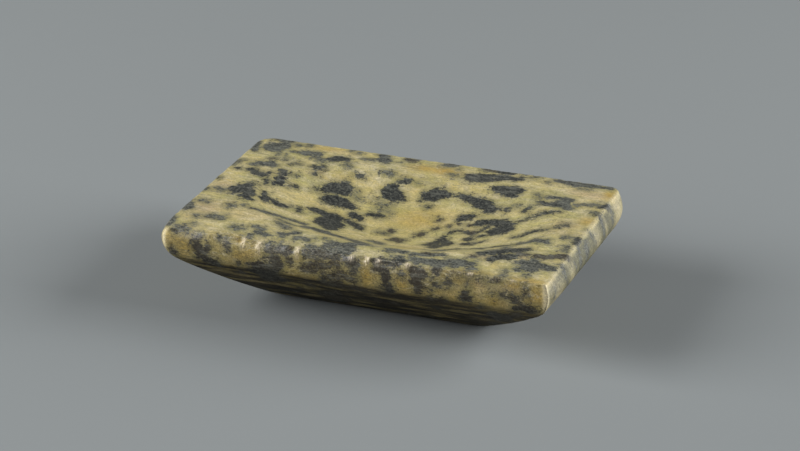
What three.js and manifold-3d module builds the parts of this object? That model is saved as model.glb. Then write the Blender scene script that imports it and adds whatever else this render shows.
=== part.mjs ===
// A small rectangular cosmetic palette, cut from one piece of mottled stone.
//
// The top face is a flat border round an oval dish, in which pigment was ground. An upright band
// runs round the top, and below it all four sides slope in to a much smaller flat base. Sizes are in
// millimetres. The palette stands on its base, with X along its length, Y to its back and Z up, and
// the origin is at the middle of the base.
import * as THREE from "three";
import { mergeVertices } from "three/addons/utils/BufferGeometryUtils.js";
import Module from "manifold-3d";

// The block, between the lines of its top edges. It was cut by hand, so its two ends are not alike.
const LENGTH = 80;
const LEFT_WIDTH = 50.3;
const RIGHT_WIDTH = 50.2;
const RIGHT_SHIFT = 0.8; // how far the right end lies to the back of the left one
const HEIGHT = 19;
const BAND_HEIGHT = 6.6;
const BAND_DROP = 1.6; // how much lower the band's foot lies at the back than at the front

// The two ends and the two long sides. run is how far the base stands in from the top edge, swell
// how far the band stands out from it at half its height, bow how much more than that between the
// corners, and footRound how softly the band's foot turns.
const LEFT_END = { run: 16.3, swell: 0.7, bow: 1, footRound: 1 };
const RIGHT_END = { run: 16.3, swell: 0.6, bow: 1.1, footRound: 0.8 };
const SIDE = { run: 14.4, swell: 0.2, bow: 0, footRound: 0.8 };
const BOW_FULLNESS = 8; // a higher power keeps the bow full until nearer the corners
const SLOPE_SWELL = 0.7;

// Rounding, measured along each side from the sharp edge or corner
const TOP_EDGE_ROUND = 0.6;
const BASE_EDGE_ROUND = 1.6;
const FRONT_LEFT_CORNER = 1.8;
const BACK_LEFT_CORNER = 3.6;
const BACK_RIGHT_CORNER = 2.6;
const FRONT_RIGHT_CORNER = 1;
const BASE_CORNER = 4.5;

// The dish: an oval with a rounded shoulder and a full floor, ground a little off the middle
const DISH_LENGTH = 67;
const DISH_WIDTH = 38;
const DISH_DEPTH = 5.2;
const DISH_FULLNESS = 1.1; // the power in its cross-section: less gives steeper walls and a fuller floor
const DISH_RIGHT = 1;
const DISH_FORWARD = 0.8;

// Flake scars where the top edge of the front was knocked, each scooped out as part of a ball.
// place is along the edge from its middle, length is the scar's, and reach how deep it bites.
const SCARS = [
  { place: -21.2, length: 6.6, reach: 1.5 },
  { place: -12, length: 4.8, reach: 1.2 },
  { place: -4.6, length: 11, reach: 0.9 },
  { place: 3.6, length: 5.2, reach: 1.1 },
  { place: 11.6, length: 4.2, reach: 0.6 },
];
const SCAR_LEAN = 60; // the blows came this many degrees from straight down

// How finely each stretch is divided
const END_STEPS = 18;
const SIDE_STEPS = 24;
const CORNER_STEPS = 5;
const ROUND_STEPS = 4;
const SLOPE_STEPS = 6;
const FOOT_STEPS = 12;
const BAND_STEPS = 4;
const BORDER_STEPS = 2;
const DISH_STEPS = 13;
const SCAR_DETAIL = 3;

const FRONT_FOOT = HEIGHT - BAND_HEIGHT;
const BACK_FOOT = FRONT_FOOT - BAND_DROP;
const FOOT_REACH = 2 * Math.max(LEFT_END.footRound, RIGHT_END.footRound, SIDE.footRound);
const DISH_MIDDLE = new THREE.Vector2(DISH_RIGHT, -DISH_FORWARD);

const wasm = await Module();
wasm.setup();

/** How much a rounded edge draws in the surface, where near goes from 0 to 1 at the edge itself. */
function edgeRounding(round, near) {
  return round * (1 - Math.sqrt(1 - THREE.MathUtils.clamp(near, 0, 1) ** 2));
}

/**
 * How far an end or a long side stands in from the line of its top edge, at that height and at that
 * share of the way from the front to the back.
 */
function runAt(height, { run, swell, bow, footRound }, back) {
  const foot = THREE.MathUtils.lerp(FRONT_FOOT, BACK_FOOT, back);
  const up = height / foot;
  const slope = run * (1 - up) - 4 * SLOPE_SWELL * up * (1 - up);
  const upBand = THREE.MathUtils.clamp((height - foot) / (HEIGHT - foot), 0, 1);
  const bowed = bow * (1 - Math.abs(2 * back - 1) ** BOW_FULLNESS);
  const band = -(swell + bowed) * Math.sin(Math.PI * upBand);
  const inner = (slope + band + Math.hypot(slope - band, footRound)) / 2;
  const baseRounding = edgeRounding(BASE_EDGE_ROUND, 1 - height / BASE_EDGE_ROUND);
  const topRounding = edgeRounding(TOP_EDGE_ROUND, 1 - (HEIGHT - height) / TOP_EDGE_ROUND);
  return inner + baseRounding + topRounding;
}

/** The heights of the rings, from the base to the top face, closest where the surface turns. */
function ringHeights() {
  const heights = [];
  const addStretch = (from, to, steps, share = (t) => t) => {
    for (let k = 0; k < steps; k++)
      heights.push(THREE.MathUtils.lerp(from, to, share(k / steps)));
  };
  const easeOut = (t) => Math.sin((t * Math.PI) / 2);
  const easeIn = (t) => 1 - Math.cos((t * Math.PI) / 2);
  addStretch(0, BASE_EDGE_ROUND, ROUND_STEPS, easeIn);
  addStretch(BASE_EDGE_ROUND, BACK_FOOT - FOOT_REACH, SLOPE_STEPS);
  addStretch(BACK_FOOT - FOOT_REACH, FRONT_FOOT + FOOT_REACH, FOOT_STEPS);
  addStretch(FRONT_FOOT + FOOT_REACH, HEIGHT - TOP_EDGE_ROUND, BAND_STEPS);
  addStretch(HEIGHT - TOP_EDGE_ROUND, HEIGHT, ROUND_STEPS, easeOut);
  heights.push(HEIGHT);
  return heights;
}

/** The end that a place left or right of the middle belongs to. */
function endAt(x) {
  return x < 0 ? LEFT_END : RIGHT_END;
}

/** The y of the front (back 0) or the back (back 1) at that x, drawn in from its top edge by run. */
function sideLine(x, back, run) {
  const share = x / LENGTH;
  const width = THREE.MathUtils.lerp(LEFT_WIDTH, RIGHT_WIDTH, share + 0.5);
  return RIGHT_SHIFT * share + (2 * back - 1) * (width / 2 - run);
}

/**
 * The plan's four corners, anticlockwise from the front right, drawn in from the lines of the top
 * edges by as much as run gives for an end or a side at the front (0) and at the back (1).
 */
function planCorners(run) {
  const corner = (end, back) => {
    const x = end * (LENGTH / 2 - run(endAt(end), back));
    return new THREE.Vector2(x, sideLine(x, back, run(SIDE, back)));
  };
  return [corner(1, 0), corner(1, 1), corner(-1, 1), corner(-1, 0)];
}

/** Moves a point of the straight-sided outline at a height out by the bow of the end it lies on. */
function bowOut(point, height) {
  const front = sideLine(point.x, 0, runAt(height, SIDE, 0));
  const rear = sideLine(point.x, 1, runAt(height, SIDE, 1));
  const back = THREE.MathUtils.clamp((point.y - front) / (rear - front), 0, 1);
  const endRun = (share) => runAt(height, endAt(point.x), share);
  const straight = THREE.MathUtils.lerp(endRun(0), endRun(1), back);
  point.x += Math.sign(point.x) * (straight - endRun(back));
}

/** The plan outline at a height as points, anticlockwise, with rounded corners and bowed ends. */
function planOutline(height) {
  const corners = planCorners((face, back) => runAt(height, face, back));
  const baseShare = Math.max(0, 1 - height / FRONT_FOOT);
  const rounds = [FRONT_RIGHT_CORNER, BACK_RIGHT_CORNER, BACK_LEFT_CORNER, FRONT_LEFT_CORNER].map(
    (round) => THREE.MathUtils.lerp(round, BASE_CORNER, baseShare),
  );
  const steps = [END_STEPS, SIDE_STEPS, END_STEPS, SIDE_STEPS];
  const towards = (from, to, distance) => to.clone().sub(from).setLength(distance).add(from);
  const closerAtCorners = (t) => t - 0.1 * Math.sin(2 * Math.PI * t);
  const points = [];
  corners.forEach((corner, i) => {
    const before = corners[(i + 3) % 4];
    const after = corners[(i + 1) % 4];
    const bend = new THREE.QuadraticBezierCurve(
      towards(corner, before, rounds[i]),
      corner,
      towards(corner, after, rounds[i]),
    );
    points.push(...bend.getPoints(CORNER_STEPS));
    const last = points.at(-1);
    const nextStart = towards(after, corner, rounds[(i + 1) % 4]);
    for (let k = 1; k < steps[i]; k++)
      points.push(last.clone().lerp(nextStart, closerAtCorners(k / steps[i])));
  });
  points.forEach((point) => bowOut(point, height));
  return points;
}

/** The point of the dish's rim that lies the same way from the dish's middle as a point of the plan. */
function rimPoint(point) {
  const out = point.clone().sub(DISH_MIDDLE);
  const size = Math.hypot(out.x / (DISH_LENGTH / 2), out.y / (DISH_WIDTH / 2));
  return out.divideScalar(size).add(DISH_MIDDLE);
}

/** Every ring of the surface: from the base's edge up, over the band, and in to the dish's middle. */
function surfaceRings() {
  const at = (plan, height) => plan.map((p) => new THREE.Vector3(p.x, p.y, height));
  const rings = ringHeights().map((height) => at(planOutline(height), height));
  const border = planOutline(HEIGHT);
  const rim = border.map(rimPoint);
  for (let k = 1; k < BORDER_STEPS; k++)
    rings.push(at(border.map((p, i) => p.clone().lerp(rim[i], k / BORDER_STEPS)), HEIGHT));
  for (let k = 0; k < DISH_STEPS; k++) {
    const share = 1 - k / DISH_STEPS;
    const sink = DISH_DEPTH * (1 - share ** 2) ** DISH_FULLNESS;
    rings.push(at(rim.map((p) => DISH_MIDDLE.clone().lerp(p, share)), HEIGHT - sink));
  }
  return rings;
}

/** Joins the rings with triangles, and closes them with a fan at the base and one in the dish. */
function skinRings(rings) {
  const count = rings[0].length;
  const points = rings.flat();
  const baseMiddle = points.push(new THREE.Vector3(0, 0, 0)) - 1;
  const dishFloor = new THREE.Vector3(DISH_MIDDLE.x, DISH_MIDDLE.y, HEIGHT - DISH_DEPTH);
  const dishMiddle = points.push(dishFloor) - 1;
  const lastRing = (rings.length - 1) * count;
  const faces = [];
  for (let i = 0; i < count; i++) {
    const next = (i + 1) % count;
    faces.push(baseMiddle, next, i, dishMiddle, lastRing + i, lastRing + next);
    for (let low = 0; low < lastRing; low += count) {
      const high = low + count;
      faces.push(low + i, low + next, high + next, low + i, high + next, high + i);
    }
  }
  return new THREE.BufferGeometry().setFromPoints(points).setIndex(faces);
}

/** A closed geometry as a solid that can be cut. */
function toSolid(geometry) {
  geometry.deleteAttribute("normal");
  geometry.deleteAttribute("uv");
  const merged = mergeVertices(geometry, 1e-4);
  return new wasm.Manifold(
    new wasm.Mesh({
      numProp: 3,
      vertProperties: new Float32Array(merged.attributes.position.array),
      triVerts: new Uint32Array(merged.index.array),
    }),
  );
}

/** A solid as a geometry again. */
function toGeometry(solid) {
  const { numProp, vertProperties, triVerts } = solid.getMesh();
  const points = [];
  for (let i = 0; i < vertProperties.length; i += numProp)
    points.push(new THREE.Vector3(...vertProperties.subarray(i, i + 3)));
  return new THREE.BufferGeometry().setFromPoints(points).setIndex([...triVerts]);
}

/** The ball that scoops out a flake scar, centred off the edge so that it bites in by that reach. */
function scarBall(edgePoint, { length, reach }) {
  const radius = (length ** 2 / 4 + reach ** 2) / (2 * reach);
  const lean = THREE.MathUtils.degToRad(SCAR_LEAN);
  const away = new THREE.Vector3(0, -Math.sin(lean), Math.cos(lean));
  const centre = away.multiplyScalar(radius - reach).add(edgePoint);
  const ball = new THREE.IcosahedronGeometry(radius, SCAR_DETAIL);
  return toSolid(ball.translate(centre.x, centre.y, centre.z));
}

/** The palette: the skinned block, with the scars cut out of its front edge. */
function paletteGeometry() {
  const onTop = (p) => new THREE.Vector3(p.x, p.y, HEIGHT);
  const [frontRight, , , frontLeft] = planCorners(() => 0).map(onTop);
  let block = toSolid(skinRings(surfaceRings()));
  for (const scar of SCARS) {
    const edgePoint = frontLeft.clone().lerp(frontRight, scar.place / LENGTH + 0.5);
    block = block.subtract(scarBall(edgePoint, scar));
  }
  return toGeometry(block);
}

const mottledStone = new THREE.MeshStandardMaterial({
  color: new THREE.Color(0.5, 0.44, 0.27),
  roughness: 0.55,
  metalness: 0,
});

const palette = new THREE.Mesh(paletteGeometry(), mottledStone);
palette.name = "palette_slab";

const part = new THREE.Group();
part.add(palette);

export default part;
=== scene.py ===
"""A small rectangular cosmetic palette, cut from one piece of mottled stone.

The stone is one piece: a flat border round an oval dish, an upright band below it, and four slopes
that run in to a small base. Its form is a tree of Geometry Nodes, its flecks are strokes laid on the
finished surface, and its finish is worked out by shader nodes. Sizes are in millimetres, and the
finished mesh is in metres.
"""

import logging
import math
from dataclasses import dataclass, field, fields
from enum import Enum

import bpy
import numpy as np
from mathutils import Euler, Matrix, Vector
from mathutils.bvhtree import BVHTree


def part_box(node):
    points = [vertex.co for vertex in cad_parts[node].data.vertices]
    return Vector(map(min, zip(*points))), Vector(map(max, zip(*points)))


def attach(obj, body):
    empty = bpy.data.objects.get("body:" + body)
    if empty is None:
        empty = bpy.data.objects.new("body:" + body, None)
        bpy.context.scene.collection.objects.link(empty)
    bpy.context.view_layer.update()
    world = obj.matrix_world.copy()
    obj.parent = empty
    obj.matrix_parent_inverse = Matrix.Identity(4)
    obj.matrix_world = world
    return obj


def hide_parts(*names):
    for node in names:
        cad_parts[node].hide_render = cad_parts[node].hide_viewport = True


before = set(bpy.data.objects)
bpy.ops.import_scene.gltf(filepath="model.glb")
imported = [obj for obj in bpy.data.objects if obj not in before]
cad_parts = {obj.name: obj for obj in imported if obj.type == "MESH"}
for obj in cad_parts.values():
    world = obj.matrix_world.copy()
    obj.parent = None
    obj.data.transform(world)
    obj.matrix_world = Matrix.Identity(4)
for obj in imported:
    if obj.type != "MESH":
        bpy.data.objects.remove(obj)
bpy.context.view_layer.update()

METRES = 0.001
OUTSIDE = 200.0
NODE = "palette_slab"
LOG = logging.getLogger("palette")

Triple = tuple[float, float, float]
Colour = Triple
Disc = Triple
Node = bpy.types.Node
Socket = bpy.types.NodeSocket


class Flow:
    """A number or a vector that flows through a node tree, and that sums up like a plain one."""

    def __init__(self, tree: "Tree", socket: Socket) -> None:
        """Keeps the socket that the value leaves by, and the tree that it is in."""
        self.tree = tree
        self.socket = socket

    @property
    def is_vector(self) -> bool:
        """Whether the value has three parts."""
        return self.socket.type in ("VECTOR", "RGBA")

    def __add__(self, other: "Value") -> "Flow":
        """The sum."""
        return self.tree.sum_up("ADD", self, other)

    def __radd__(self, other: "Value") -> "Flow":
        """The sum, with the other value first."""
        return self.tree.sum_up("ADD", other, self)

    def __sub__(self, other: "Value") -> "Flow":
        """The difference."""
        return self.tree.sum_up("SUBTRACT", self, other)

    def __rsub__(self, other: "Value") -> "Flow":
        """The difference, with the other value first."""
        return self.tree.sum_up("SUBTRACT", other, self)

    def __mul__(self, other: "Value") -> "Flow":
        """The product."""
        return self.tree.sum_up("MULTIPLY", self, other)

    def __rmul__(self, other: "Value") -> "Flow":
        """The product, with the other value first."""
        return self.tree.sum_up("MULTIPLY", self, other)

    def __truediv__(self, other: "Value") -> "Flow":
        """The quotient."""
        return self.tree.sum_up("DIVIDE", self, other)

    def __rtruediv__(self, other: "Value") -> "Flow":
        """The quotient, with the other value first."""
        return self.tree.sum_up("DIVIDE", other, self)

    def __neg__(self) -> "Flow":
        """The value with its sign turned."""
        return self * -1.0


Value = Flow | float | Triple


@dataclass(frozen=True)
class Grain:
    """Soft noise, as it lies in the stone.

    size is that of its lumps. detail is how many finer layers lie over it, and roughness how strong
    they are. cut is the noise that counts as none and as full. drawn below 1 draws it out along X, Y
    or Z, shift moves it and warp swirls it.
    """

    size: float
    cut: tuple[float, float] | None = None
    detail: float = 2.0
    roughness: float = 0.5
    drawn: Triple = (1.0, 1.0, 1.0)
    shift: Triple = (0.0, 0.0, 0.0)
    warp: float = 0.0


class Tree:
    """Writes the nodes of one geometry or shader tree."""

    def __init__(self, written: bpy.types.NodeTree) -> None:
        """Starts on an empty tree."""
        self.nodes = written.nodes
        self.links = written.links

    def add(self, kind: str, values: dict[str | int, object] | None = None, **settings: object) -> Node:
        """Adds a node.

        Args:
            kind: Blender's own name for that kind of node.
            values: what goes into its sockets, by their name or number.
            settings: the node's other settings.

        Returns:
            The new node.
        """
        node = self.nodes.new(kind)
        for name, setting in settings.items():
            setattr(node, name, setting)
        for name, value in (values or {}).items():
            socket = node.inputs[name]
            if isinstance(value, Flow):
                self.links.new(value.socket, socket)
            elif isinstance(value, Socket):
                self.links.new(value, socket)
            else:
                socket.default_value = value
        return node

    def out(self, node: Node, name: str | int = 0) -> Flow:
        """What leaves a node by one of its sockets."""
        return Flow(self, node.outputs[name])

    def sum_up(self, operation: str, first: Value, second: Value) -> Flow:
        """Two values taken together by a Math or a Vector Math node.

        Args:
            operation: the node's operation, the same word for both kinds.
            first: a number or a vector.
            second: a number or a vector.

        Returns:
            The result, a vector if either value is one.
        """
        pair = (first, second)
        vectors = [v.is_vector if isinstance(v, Flow) else isinstance(v, tuple) for v in pair]
        if not any(vectors):
            return self.maths(operation, *pair)
        if operation == "MULTIPLY" and not all(vectors):
            vector, number = pair if vectors[0] else reversed(pair)
            scaled = self.add("ShaderNodeVectorMath", {0: vector, "Scale": number}, operation="SCALE")
            return self.out(scaled)
        whole = [v if is_vector or isinstance(v, Flow) else (v,) * 3 for v, is_vector in zip(pair, vectors)]
        return self.out(self.add("ShaderNodeVectorMath", dict(enumerate(whole)), operation=operation))

    def maths(self, operation: str, *values: Value) -> Flow:
        """A Math node's result for plain numbers."""
        return self.out(self.add("ShaderNodeMath", dict(enumerate(values)), operation=operation))

    def size_of(self, value: Flow) -> Flow:
        """A number without its sign."""
        return self.maths("ABSOLUTE", value)

    def root(self, value: Value) -> Flow:
        """The square root of a number, or of nothing where it is below zero."""
        return self.maths("SQRT", self.larger(value, 0.0))

    def larger(self, first: Value, second: Value) -> Flow:
        """The larger of two numbers."""
        return self.maths("MAXIMUM", first, second)

    def smaller(self, first: Value, second: Value) -> Flow:
        """The smaller of two numbers."""
        return self.maths("MINIMUM", first, second)

    def share(self, value: Value, low: float | Flow, high: float | Flow, smooth: bool = False) -> Flow:
        """How far a number has come from low to high, held between 0 and 1.

        Args:
            value: the number.
            low: where the share is 0.
            high: where it is 1.
            smooth: whether it eases in and out.

        Returns:
            The share.
        """
        kind = "SMOOTHSTEP" if smooth else "LINEAR"
        values = {"Value": value, "From Min": low, "From Max": high}
        return self.out(self.add("ShaderNodeMapRange", values, interpolation_type=kind))

    def blend(self, share: Value, first: Value, second: Value) -> Flow:
        """A number between first and second."""
        return first + (second - first) * share

    def split(self, vector: Flow) -> tuple[Flow, Flow, Flow]:
        """A vector's three parts."""
        node = self.add("ShaderNodeSeparateXYZ", {0: vector})
        return self.out(node, 0), self.out(node, 1), self.out(node, 2)

    def join(self, x: Value, y: Value, z: Value) -> Flow:
        """Three numbers as a vector."""
        return self.out(self.add("ShaderNodeCombineXYZ", {0: x, 1: y, 2: z}))

    def length(self, vector: Flow) -> Flow:
        """A vector's length."""
        return self.out(self.add("ShaderNodeVectorMath", {0: vector}, operation="LENGTH"), 1)

    def noise(self, place: Flow, grain: Grain) -> Flow:
        """Soft noise from 0 to 1, cut to a share if the grain is cut.

        Args:
            place: where, in millimetres.
            grain: what it is like.

        Returns:
            The noise.
        """
        made = self.out(self.add("ShaderNodeTexNoise", {
            "Vector": place * grain.drawn + grain.shift, "Scale": 1 / grain.size, "Detail": grain.detail,
            "Roughness": grain.roughness, "Distortion": grain.warp,
        }))
        return self.share(made, *grain.cut) if grain.cut else made

    def cells(self, place: Flow, size: float) -> Node:
        """A Voronoi node, whose cells are about one size across."""
        return self.add("ShaderNodeTexVoronoi", {"Vector": place, "Scale": 1 / size})


class FormTree(Tree):
    """The geometry tree that shapes the palette from its named inputs."""

    def __init__(self, written: bpy.types.NodeTree, inputs: dict[str, str]) -> None:
        """Starts the tree with its inputs.

        Args:
            written: the empty tree, whose inputs are already named.
            inputs: the name of each size, and that of its input.
        """
        super().__init__(written)
        taken_in = self.add("NodeGroupInput")
        self.size = {name: self.out(taken_in, label) for name, label in inputs.items()}

    def place(self) -> Flow:
        """Where each point is."""
        return self.out(self.add("GeometryNodeInputPosition"))

    def move(self, shape: Socket, **values: Flow) -> Socket:
        """The geometry with its points at a new Position, or moved by an Offset."""
        return self.add("GeometryNodeSetPosition", {"Geometry": shape, **values}).outputs[0]

    def keep(self, shape: Socket, name: str, value: Flow) -> Socket:
        """Keeps a number with each point, under a name that the material can read.

        Args:
            shape: the geometry.
            name: the attribute's name.
            value: the number.

        Returns:
            The geometry with the attribute.
        """
        values = {"Geometry": shape, "Name": name, "Value": value}
        node = self.add("GeometryNodeStoreNamedAttribute", values, data_type="FLOAT", domain="POINT")
        return node.outputs[0]

    def recall(self, name: str) -> Flow:
        """A number that was kept with each point."""
        return self.out(self.add("GeometryNodeInputNamedAttribute", {"Name": name}, data_type="FLOAT"))


@dataclass(frozen=True)
class Scar:
    """A flake scar, scooped out of the front's top edge as part of a ball.

    Its hollow is darkened as painted shade. Its flank, measured from its right end, is crushed white
    and lit with a painted highlight, and a white streak runs down the band from there.
    """

    place: float
    length: float
    reach: float

    LEAN = math.radians(60)
    CUT_DEPTH = 0.25
    # The hollow's dark is painted shade, and the flank's white is crushed stone with a painted highlight.
    HOLLOW_SHADE = 0.8
    FLANK = (2.1, 0.6)
    FLANK_WHITE_AND_HIGHLIGHT = 2.0
    STREAK_IN = 0.65
    STREAK_HALF_WIDTH = 0.8
    STREAK_SOFT = 0.2
    STREAK_DOWN = 2.2
    STREAK_WHITE = 0.8
    BAND = (23.8, 24.6)

    @property
    def radius(self) -> float:
        """The ball's radius."""
        return (self.length**2 / 4 + self.reach**2) / (2 * self.reach)


@dataclass
class PaletteForm:
    """The palette's sizes, and the tree of Geometry Nodes that shapes it from them."""

    length: float = 0.0
    left_width: float = 0.0
    right_width: float = 0.0
    height: float = 0.0
    right_shift: float = 0.8
    band_height: float = 6.6
    band_drop: float = 1.6
    left_run: float = 16.3
    left_swell: float = 0.7
    left_bow: float = 1.0
    left_foot_round: float = 1.0
    right_run: float = 16.3
    right_swell: float = 0.6
    right_bow: float = 1.1
    right_foot_round: float = 0.8
    side_run: float = 14.4
    side_swell: float = 0.2
    side_bow: float = 0.0
    side_foot_round: float = 0.8
    bow_fullness: float = 8.0
    slope_swell: float = 0.7
    top_edge_round: float = 0.38
    base_edge_round: float = 1.6
    front_left_corner: float = 1.5
    back_left_corner: float = 3.1
    back_right_corner: float = 2.2
    front_right_corner: float = 0.2
    base_corner: float = 3.8
    dish_length: float = 67.0
    dish_width: float = 38.0
    dish_depth: float = 5.2
    dish_fullness: float = 1.1
    dish_right: float = 1.0
    dish_forward: float = 0.8
    waviness: float = 0.22
    unevenness: float = 0.09
    pit_depth: float = 0.16
    edge_wear: float = 0.14
    front_wear: float = 0.9
    scar_roughness: float = 0.35
    seed: float = 7.0

    TAPER = 0.1
    FACE_PARTS = ("run", "swell", "bow", "foot_round")
    TOP_RING = 0.9999
    NOTHING = 1e-4
    # The cube's points along X, Y and Z, and the share of its rings that lies below each turn of the
    # sides: the base edge, the slope, the foot of the band, the band and the top edge.
    STEPS = {"Vertices X": 226, "Vertices Y": 142, "Vertices Z": 42}
    TURNS = (0.0, 0.12, 0.36, 0.62, 0.86, 1.0)
    FOOT_REACH = 2.0

    # The grain of the carving and the wear, how far apart the pits lie, and what share has none.
    WAVES = Grain(13.0, detail=1.0)
    LUMPS = Grain(2.6, detail=3.0)
    BITES = Grain(1.9, (0.44, 0.78), detail=4.0, roughness=0.65)
    KNOCKS = Grain(6.0, (0.36, 0.62), detail=3.0, roughness=0.6)
    BREAKS = Grain(1.1, detail=3.0, roughness=0.7)
    PIT_APART = 2.2
    PIT_SPAN = (0.08, 0.30)
    PITLESS = 0.72
    # How far the wear reaches from the top edge, where the front's begins and is full, the way it
    # goes, and how far the front's right part is spared.
    BITE_REACH = (0.2, 1.6)
    RUB_REACH = (0.0, 2.6)
    RUB_WAY = (0.0, 0.6, -0.8)
    RUB_LEAST = 0.2
    FRONT_EDGE = (21.0, 24.0)
    SPARED_RIGHT = (8.0, 16.0)
    SPARED = 0.75
    ABOVE_BASE = (0.0, 1.2)
    SCARS = (
        Scar(-23.2, 2.6, 1.6),
        Scar(-20.0, 2.8, 1.7),
        Scar(-12.0, 3.2, 1.5),
        Scar(-4.6, 11.0, 0.9),
        Scar(3.0, 2.4, 1.2),
        Scar(5.6, 2.0, 1.0),
        Scar(10.6, 4.2, 0.7),
        Scar(22.0, 7.0, 0.5),
        Scar(31.0, 6.0, 0.5),
    )

    @classmethod
    def from_frame(cls) -> "PaletteForm":
        """The form whose overall sizes are those of the CAD node.

        Returns:
            The form, with its length, widths and height filled in.
        """
        low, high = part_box(NODE)
        size = (high - low) / METRES
        form = cls(height=size.z)
        everywhere = np.linspace(0, 1, 41)
        form.length = size.x - form.bulge("left", everywhere) - form.bulge("right", everywhere)
        width = size.y - form.right_shift - form.bulge("side", np.zeros(1)) - form.bulge("side", np.ones(1))
        form.left_width = width + cls.TAPER / 2
        form.right_width = width - cls.TAPER / 2
        return form

    def bulge(self, face: str, back: np.ndarray) -> float:
        """How far a face stands out past the line of its top edge.

        Args:
            face: left or right for an end, and side for a long side.
            back: the places to look at, from 0 at the front to 1 at the back.

        Returns:
            The largest distance there.
        """
        run, swell, bow, foot_round = (getattr(self, f"{face}_{part}") for part in self.FACE_PARTS)
        foot = (self.height - self.band_height - self.band_drop * back)[:, None]
        height = foot + (self.height - self.top_edge_round - foot) * np.linspace(0, 1, 200)
        up = height / foot
        slope = run * (1 - up) - 4 * self.slope_swell * up * (1 - up)
        bowed = bow * (1 - np.abs(2 * back - 1) ** self.bow_fullness)[:, None]
        band = -(swell + bowed) * np.sin(np.pi * (height - foot) / (self.height - foot))
        return -float(((slope + band + np.hypot(slope - band, foot_round)) / 2).min())

    def build(self, material: bpy.types.Material) -> bpy.types.Object:
        """Builds the palette as a plain mesh.

        Args:
            material: the stone's material.

        Returns:
            The finished object, at the origin.
        """
        group = bpy.data.node_groups.new("palette_form", "GeometryNodeTree")
        inputs = {size.name: size.name.replace("_", " ") for size in fields(self)}
        sockets = {
            name: group.interface.new_socket(label, in_out="INPUT", socket_type="NodeSocketFloat")
            for name, label in inputs.items()
        }
        group.interface.new_socket("geometry", in_out="OUTPUT", socket_type="NodeSocketGeometry")
        self._write(FormTree(group, inputs), material)
        start = bpy.data.objects.new("palette_start", bpy.data.meshes.new("palette_start"))
        bpy.context.scene.collection.objects.link(start)
        modifier = start.modifiers.new("form", "NODES")
        modifier.node_group = group
        for name, socket in sockets.items():
            modifier[socket.identifier] = float(getattr(self, name))
        graph = bpy.context.evaluated_depsgraph_get()
        shaped = start.evaluated_get(graph)
        mesh = bpy.data.meshes.new_from_object(shaped, preserve_all_data_layers=True, depsgraph=graph)
        start.modifiers.remove(modifier)
        bpy.data.objects.remove(start)
        mesh.name = "palette_stone"
        stone = bpy.data.objects.new("palette_stone", mesh)
        bpy.context.scene.collection.objects.link(stone)
        return stone

    def _write(self, tree: FormTree, material: bpy.types.Material) -> None:
        """Writes the whole tree: a fine cube is shaped, worn, scarred and brought to metres.

        Args:
            tree: the palette's tree.
            material: the stone's material.
        """
        cube = tree.add("GeometryNodeMeshCube", {"Size": (2.0, 2.0, 2.0), **self.STEPS})
        shaped = self._shape(tree, cube.outputs["Mesh"])
        scarred = self._scar(tree, self._wear(tree, shaped))
        scaled = tree.move(scarred, Position=tree.place() * METRES)
        smooth = tree.add("GeometryNodeSetShadeSmooth", {"Geometry": scaled})
        whole = tree.add("GeometryNodeRealizeInstances", {0: smooth.outputs[0]})
        dressed = tree.add("GeometryNodeSetMaterial", {0: whole.outputs[0], "Material": material})
        tree.add("NodeGroupOutput", {0: dressed.outputs[0]})

    def _ring_height(self, tree: FormTree, up: Flow) -> Flow:
        """The height of a ring of the cube's sides, with the rings closest where the surface turns.

        Args:
            tree: the palette's tree.
            up: the ring's place, from 0 at the base to 1 at the top face.

        Returns:
            Its height.
        """
        size = tree.size
        base_edge, *straight, top_edge = zip(self.TURNS, self.TURNS[1:])
        quarter = math.pi / 2
        base_turn = 1.0 - tree.maths("COSINE", tree.share(up, *base_edge) * quarter)
        top_turn = tree.maths("SINE", tree.share(up, *top_edge) * quarter)
        low_foot = size["height"] - size["band_height"] - size["band_drop"]
        rises = (
            low_foot - self.FOOT_REACH - size["base_edge_round"],
            size["band_drop"] + 2 * self.FOOT_REACH,
            size["band_height"] - self.FOOT_REACH - size["top_edge_round"],
        )
        height = base_turn * size["base_edge_round"] + top_turn * size["top_edge_round"]
        for stretch, rise in zip(straight, rises):
            height = height + tree.share(up, *stretch) * rise
        return height

    def _run(self, tree: FormTree, height: Flow, back: Value, face: dict[str, Flow]) -> Flow:
        """How far a face stands in from the line of its top edge.

        Args:
            tree: the palette's tree.
            height: the height of the point.
            back: its place, from 0 at the front to 1 at the back.
            face: that end's or side's own sizes, by name.

        Returns:
            The distance.
        """
        size = tree.size
        foot = size["height"] - size["band_height"] - size["band_drop"] * back
        up = height / foot
        slope = face["run"] * (1.0 - up) - 4.0 * size["slope_swell"] * up * (1.0 - up)
        off_middle = tree.size_of(back * 2.0 - 1.0)
        bowed = face["bow"] * (1.0 - tree.maths("POWER", off_middle, size["bow_fullness"]))
        up_band = tree.share(height, foot, size["height"])
        band = -(face["swell"] + bowed) * tree.maths("SINE", up_band * math.pi)
        apart = slope - band
        turn = tree.root(apart * apart + face["foot_round"] * face["foot_round"])
        return (slope + band + turn) / 2.0 + self._rounding(tree, height)

    def _rounding(self, tree: FormTree, height: Flow) -> Flow:
        """How much the rounded edges of the base and the top face draw a side in at a height."""
        size = tree.size
        near_base = 1.0 - tree.share(height, 0.0, size["base_edge_round"])
        near_top = 1.0 - tree.share(size["height"] - height, 0.0, size["top_edge_round"])
        at_base = size["base_edge_round"] * (1.0 - tree.root(1.0 - near_base * near_base))
        at_top = size["top_edge_round"] * (1.0 - tree.root(1.0 - near_top * near_top))
        return at_base + at_top

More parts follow.
